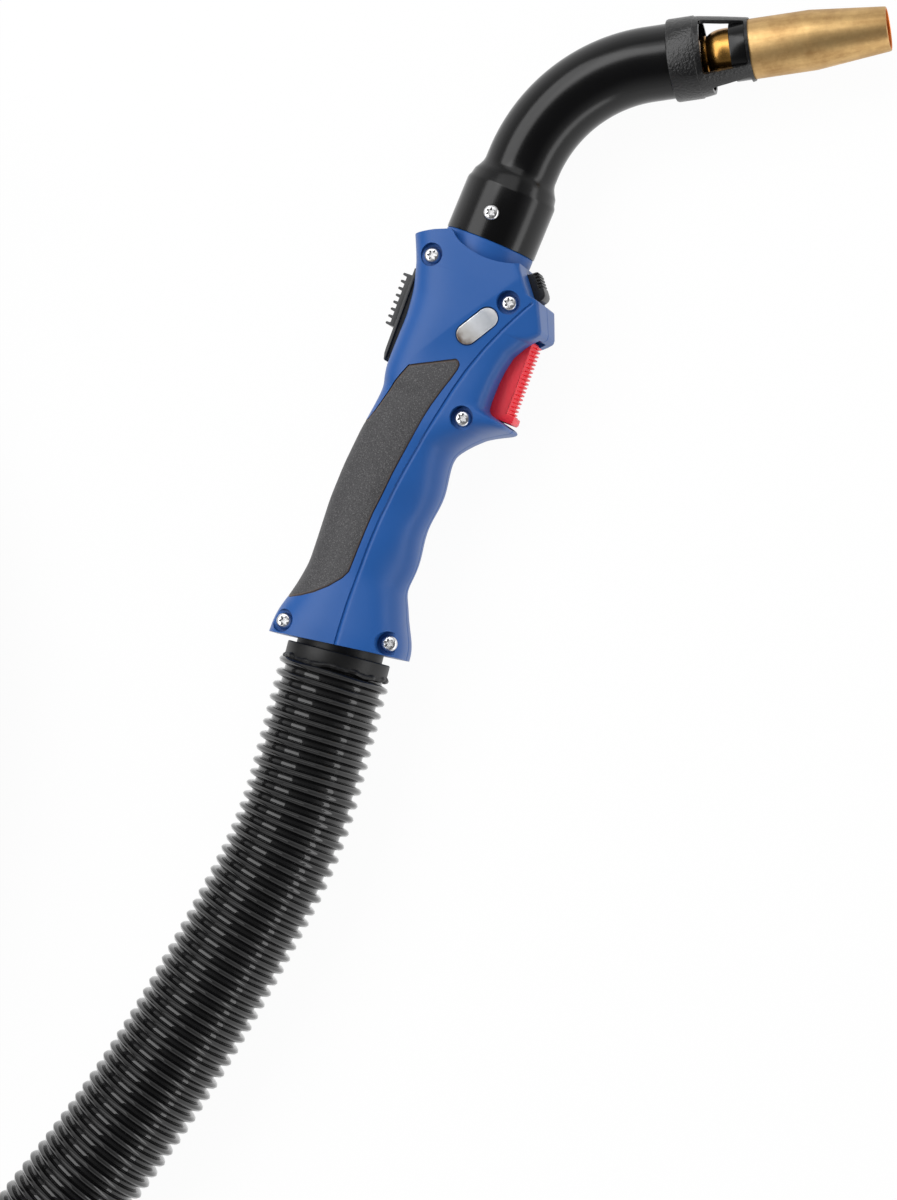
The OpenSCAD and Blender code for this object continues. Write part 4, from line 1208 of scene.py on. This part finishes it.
def make_lock_button():
    """Ribbed upper half, smooth rounded nose"""
    outline = [[1.4, -2.4], [1.4, 4.4], [1.9, 4.95], [8.4, 5.0], [10.4, 5.0], [11.6, 4.75], [12.5, 4.0],
               [13.0, 3.0], [13.2, 1.6], [13.2, -2.4]]
    button = plate(BUTTON, outline, -5.4, 5.4, "lock_push_button")
    rounded(button, 0.7, 3, 40)
    for i in range(5):
        at = 1.9 + 1.35 * i
        cut(button, block(BUTTON, (at, 3.0, -9), (at + 0.7, 9, 9)))
    done(button, "black_plastic", "lock_button", body="lock_button", smooth=40)


def make_bypass():
    bezel = plate(HANDLE, [[-21.2, 114.05], [-21.9, 114.5], [-22.5, 117], [-22.6, 119], [-22.6, 152.9],
                           [-21.2, 152.9]], -8, 8, "bypass_frame")
    cut(bezel, block(HANDLE, (-21.3, 115.6, -6.9), (-16.3, 151.4, 6.9)), operation="UNION")
    rounded(bezel, 0.25, 2, 30)
    cut(bezel, block(HANDLE, (-60, 123.3, -3.7), (0, 149.5, 3.7)))
    done(bezel, "black_plastic", "bypass_bezel", smooth=30)
    low, high, back = 128.3, 149.9, -25.0
    pitch = (high - low - 1) / 7
    outline = [[-22.7, low], [back + 0.2, low]]
    for i in range(8):
        at = low + i * pitch
        outline += [[back - 1.5, at], [back - 1.75, at + 0.3], [back - 1.7, at + 0.8], [back - 1.4, at + 1.0],
                    [back + 0.1, at + 1.02]]
        if i < 7:
            outline += [[back + 0.1, at + pitch - 0.02]]
    outline += [[-22.7, high + 0.02]]
    slide = plate(HANDLE, outline, -6.2, 6.2, "bypass_slider")
    cut(slide, block(HANDLE, (-22.8, 132.6, -3.6), (-15, 149.2, 3.6)), operation="UNION")
    rounded(slide, 0.2, 2, 30)
    done(slide, "black_plastic", "bypass_slide", body="bypass_slide", smooth=30)


make_screws()
make_badge()
make_trigger()
make_lock_button()
make_bypass()


# ---------------------------------------------------------------- neck
SOCKET_R, SOCKET_LEN, SHROUD_R, WALL = 18.65, 22, 15, 1.6
SHROUD_SCREW_S, TIP_STRAIGHT = 10.4, 17


def make_collar():
    collar = turned_piece("neck_collar_blue", NECK, [
        [18.4, -7.4], [18.4, -0.35], [18.1, 0.0], [16.6, 0.0], [16.6, 11.6], [16.2, 12], [7.05, 12],
        [7.05, -7.4], [18.4, -7.4]], 128)
    for k in range(6):
        cut(collar, bar(spoke(NECK, 60 * k + 30, 11.2) @ ALONG, 2.9, -20, 30, 32))
    done(collar, "blue_shell", "neck_collar")


def make_shroud():
    """The outer tube: its socket and shoulder turned, the bend swept on, and its wall given last"""
    shroud = turned_piece("neck_shroud_tube", NECK, [
        [SOCKET_R - 0.5, 0.0], [SOCKET_R - 0.12, 0.15], [SOCKET_R, 0.6], [SOCKET_R, SOCKET_LEN - 0.4],
        [SOCKET_R - 0.18, SOCKET_LEN + 0.5], [SOCKET_R - 0.75, SOCKET_LEN + 1.6],
        [SHROUD_R + 2.4, SOCKET_LEN + 4.0], [SHROUD_R + 1.1, SOCKET_LEN + 6.2],
        [SHROUD_R + 0.35, SOCKET_LEN + 7.8], [SHROUD_R, SOCKET_LEN + 9.4], [SHROUD_R, BEND_FROM]], 128, False)
    bend = {"steps": 48, "angle": radians(BEND_DEG), "center": NECK @ Vector((BEND_R, BEND_FROM, 0)),
            "axis": (0, 0, 1)}
    on = TIP.to_3x3() @ Vector((0, TIP_STRAIGHT, 0))
    in_edit(shroud, lambda: bpy.ops.mesh.spin(**bend),
            lambda: bpy.ops.mesh.extrude_edges_move(TRANSFORM_OT_translate={"value": on}), select_all,
            lambda: bpy.ops.mesh.remove_doubles(threshold=1e-6), select_all, face_outward)
    finished(shroud, "SOLIDIFY", thickness=WALL * MM, offset=-1.0)
    heads = []
    for turn in (0, 180):
        seat = spoke(NECK, turn, 0, SHROUD_SCREW_S)
        cut(shroud, bar(seat, 3.3, SOCKET_R - 0.45, 40, 48), bar(seat, 1.7, 0, 40, 24))
        heads.append(screw_at(seat @ moved(0, 0, SOCKET_R - 0.45) @ turned_by(25), HEAD_R - 0.15, 2.0))
    done(shroud, "shroud_black", "neck_shroud", smooth=40)
    done(joined("shroud_screw_pair", *heads), "steel", "shroud_screws", smooth=30)


make_collar()
make_shroud()


# ---------------------------------------------------------------- nozzle group, along the nozzle's axis
NOZZLE_R, MOUTH_R, FUME_R = 12, 8.9, 16.6
RING_FROM, RING_TO = 24.6, 31.2
FRONT_END = 32.4
NOZZLE_TIP = 87
ARMS, ARM_DEG = [67, -53, -173], 29
WINDOW_FROM = [13.4, 15.6, 13.4]


def make_fume_nozzle():
    """Rear collar, three arms, and a narrow ring in front"""
    nozzle = turned_piece("extraction_nozzle", NOZZLE, [
        [15.05, 0], [FUME_R - 0.9, 0], [FUME_R - 0.3, 0.3], [FUME_R, 1.0], [FUME_R, 10.9],
        [FUME_R - 0.4, 11.2], [FUME_R - 0.45, 12.2], [FUME_R - 0.6, 13.4], [NOZZLE_R + 2.6, 22.0],
        [NOZZLE_R + 0.85, FRONT_END - 0.8], [NOZZLE_R + 0.65, FRONT_END], [NOZZLE_R + 0.12, FRONT_END],
        [NOZZLE_R + 0.12, RING_TO - 4], [NOZZLE_R + 0.9, 22.0], [FUME_R - 2.2, 14.0], [15.05, 11],
        [15.05, 0]], 144)
    for i, arm in enumerate(ARMS):
        start, stop = arm - ARM_DEG / 2, ARMS[(i + 1) % 3] + ARM_DEG / 2
        span = (start - stop) % 360
        angles = [radians(start - span * k / 12) for k in range(13)]
        wedge = [[0, 0]] + [[-40 * sin(a), -40 * cos(a)] for a in angles]
        low = WINDOW_FROM[i]
        window = plate(NOZZLE @ moved(0, low) @ ALONG, wedge, 0, RING_TO - low)
        cut(nozzle, rounded(window, 1.1, 3, 60))
    rounded(nozzle, 0.25, 2, 50)
    done(nozzle, "fume_black", "fume_nozzle")


def make_seat():
    seat = turned_piece("nozzle_seat_brass", NOZZLE, [
        [2.35, 12.8], [7.2, 12.8], [7.7, 13.1], [7.9, 13.5], [7.9, 14.6], [7.55, 14.9], [7.8, 15.4],
        [8.5, 16.4], [9.1, 17.6], [9.5, 19.0], [9.72, 20.4], [9.8, 22], [9.8, RING_TO], [10.6, RING_TO],
        [10.6, 36], [7.2, 36], [7.2, 32], [2.35, 32], [2.35, 12.8]])
    rounded(seat, 0.15, 2, 50)
    for k in range(6):
        cut(seat, bar(spoke(NOZZLE, 60 * k, 5) @ ALONG, 0.9, 15, 40, 24))
    done(seat, "brass", "nozzle_seat")


def make_insulator():
    ring = turned_piece("insulator", NOZZLE, [
        [9.85, RING_FROM], [NOZZLE_R - 0.6, RING_FROM], [NOZZLE_R - 0.15, RING_FROM + 0.2],
        [NOZZLE_R, RING_FROM + 0.6], [NOZZLE_R, RING_TO - 0.3], [NOZZLE_R - 0.25, RING_TO], [9.85, RING_TO],
        [9.85, RING_FROM]])
    done(ring, "shroud_black", "insulator_ring")


def make_gas_nozzle():
    barrel = turned_piece("gas_nozzle_barrel", NOZZLE, [
        [10.65, RING_TO], [NOZZLE_R - 0.5, RING_TO], [NOZZLE_R - 0.12, RING_TO + 0.15],
        [NOZZLE_R, RING_TO + 0.55], [NOZZLE_R, NOZZLE_TIP - 30.4], [NOZZLE_R - 0.06, NOZZLE_TIP - 29.6],
        [NOZZLE_R - 0.16, NOZZLE_TIP - 28.6], [MOUTH_R + 0.02, NOZZLE_TIP - 0.6],
        [MOUTH_R - 0.1, NOZZLE_TIP - 0.2], [MOUTH_R - 0.35, NOZZLE_TIP], [MOUTH_R - 0.75, NOZZLE_TIP],
        [MOUTH_R - 0.95, NOZZLE_TIP - 0.25], [MOUTH_R - 0.95, NOZZLE_TIP - 12], [10.65, NOZZLE_TIP - 40],
        [10.65, RING_TO]], 128)
    home = NOZZLE.inverted()

    def in_bore(vertex):
        x, y, z = home @ vertex.co
        return y > NOZZLE_TIP - 45 and hypot(x, z) < MOUTH_R - 0.7 + 0.1 * max(0, NOZZLE_TIP - 12 - y)

    mark(barrel, "bore", [float(in_bore(vertex)) for vertex in barrel.data.vertices])
    done(barrel, "nozzle_brass", "gas_nozzle", smooth=30)


def make_tip():
    tip = turned_piece("contact_tip_copper", NOZZLE, [
        [0.6, 48], [2.8, 48], [2.95, 48.2], [2.95, 54], [3.7, 54], [4, 54.3], [4, NOZZLE_TIP - 14],
        [3.8, NOZZLE_TIP - 13], [2.75, NOZZLE_TIP - 6.4], [2.4, NOZZLE_TIP - 6], [0.6, NOZZLE_TIP - 6],
        [0.6, 48]], 64)
    done(tip, "copper", "contact_tip")


make_fume_nozzle()
make_seat()
make_insulator()
make_gas_nozzle()
make_tip()


# ---------------------------------------------------------------- hose cuff
def make_cuff():
    """The cuff on a narrower neck, and the uneven bead of its weld to the hose"""
    cuff = turned_piece("hose_cuff_ring", HOSE_START, [
        [16, -14], [18.4, -14], [18.4, -4], [17.6, -3.4], [17.6, 0.9], [20.6, 0.9], [21.0, 1.3], [21.0, 6.7],
        [20.8, 7.0], [16, 7.0], [16, -14]], 128)
    bead = turned_piece("weld", HOSE_START, [
        [19.6, 6.2], [20.6, 5.9], [21.3, 6.4], [21.6, 7.1], [21.3, 7.9], [20.4, 8.4], [19.6, 8.4],
        [19.6, 6.2]], 160)
    home = HOSE_START.inverted()
    for vertex in bead.data.vertices:
        p = home @ vertex.co
        a = np.arctan2(p.x, p.z)
        grow = 1 + 0.012 * sin(7 * a + 1) + 0.010 * sin(17 * a) + 0.008 * sin(31 * a + 2)
        vertex.co = HOSE_START @ Vector((p.x * grow, p.y + 0.35 * sin(5 * a) + 0.2 * sin(13 * a), p.z * grow))
    done(joined("hose_cuff_ring", cuff, bead), "cuff_black", "hose_cuff")


make_cuff()

DRESSED = {
    "black_plastic": ["microswitch"],
    "steel": ["trigger_pin", "wire_liner"],
    "brass": ["inner_neck", "neck_nut", "gas_diffuser", "tip_holder"],
    "cable_black": ["power_cable"],
}
for slot, nodes in DRESSED.items():
    for node in nodes:
        dress(node, slot)

size = {"cad": [list(c) for c in cad_box], "visual": [list(c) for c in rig.bounds()]}
json.dump(size, open("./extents.json", "w"))
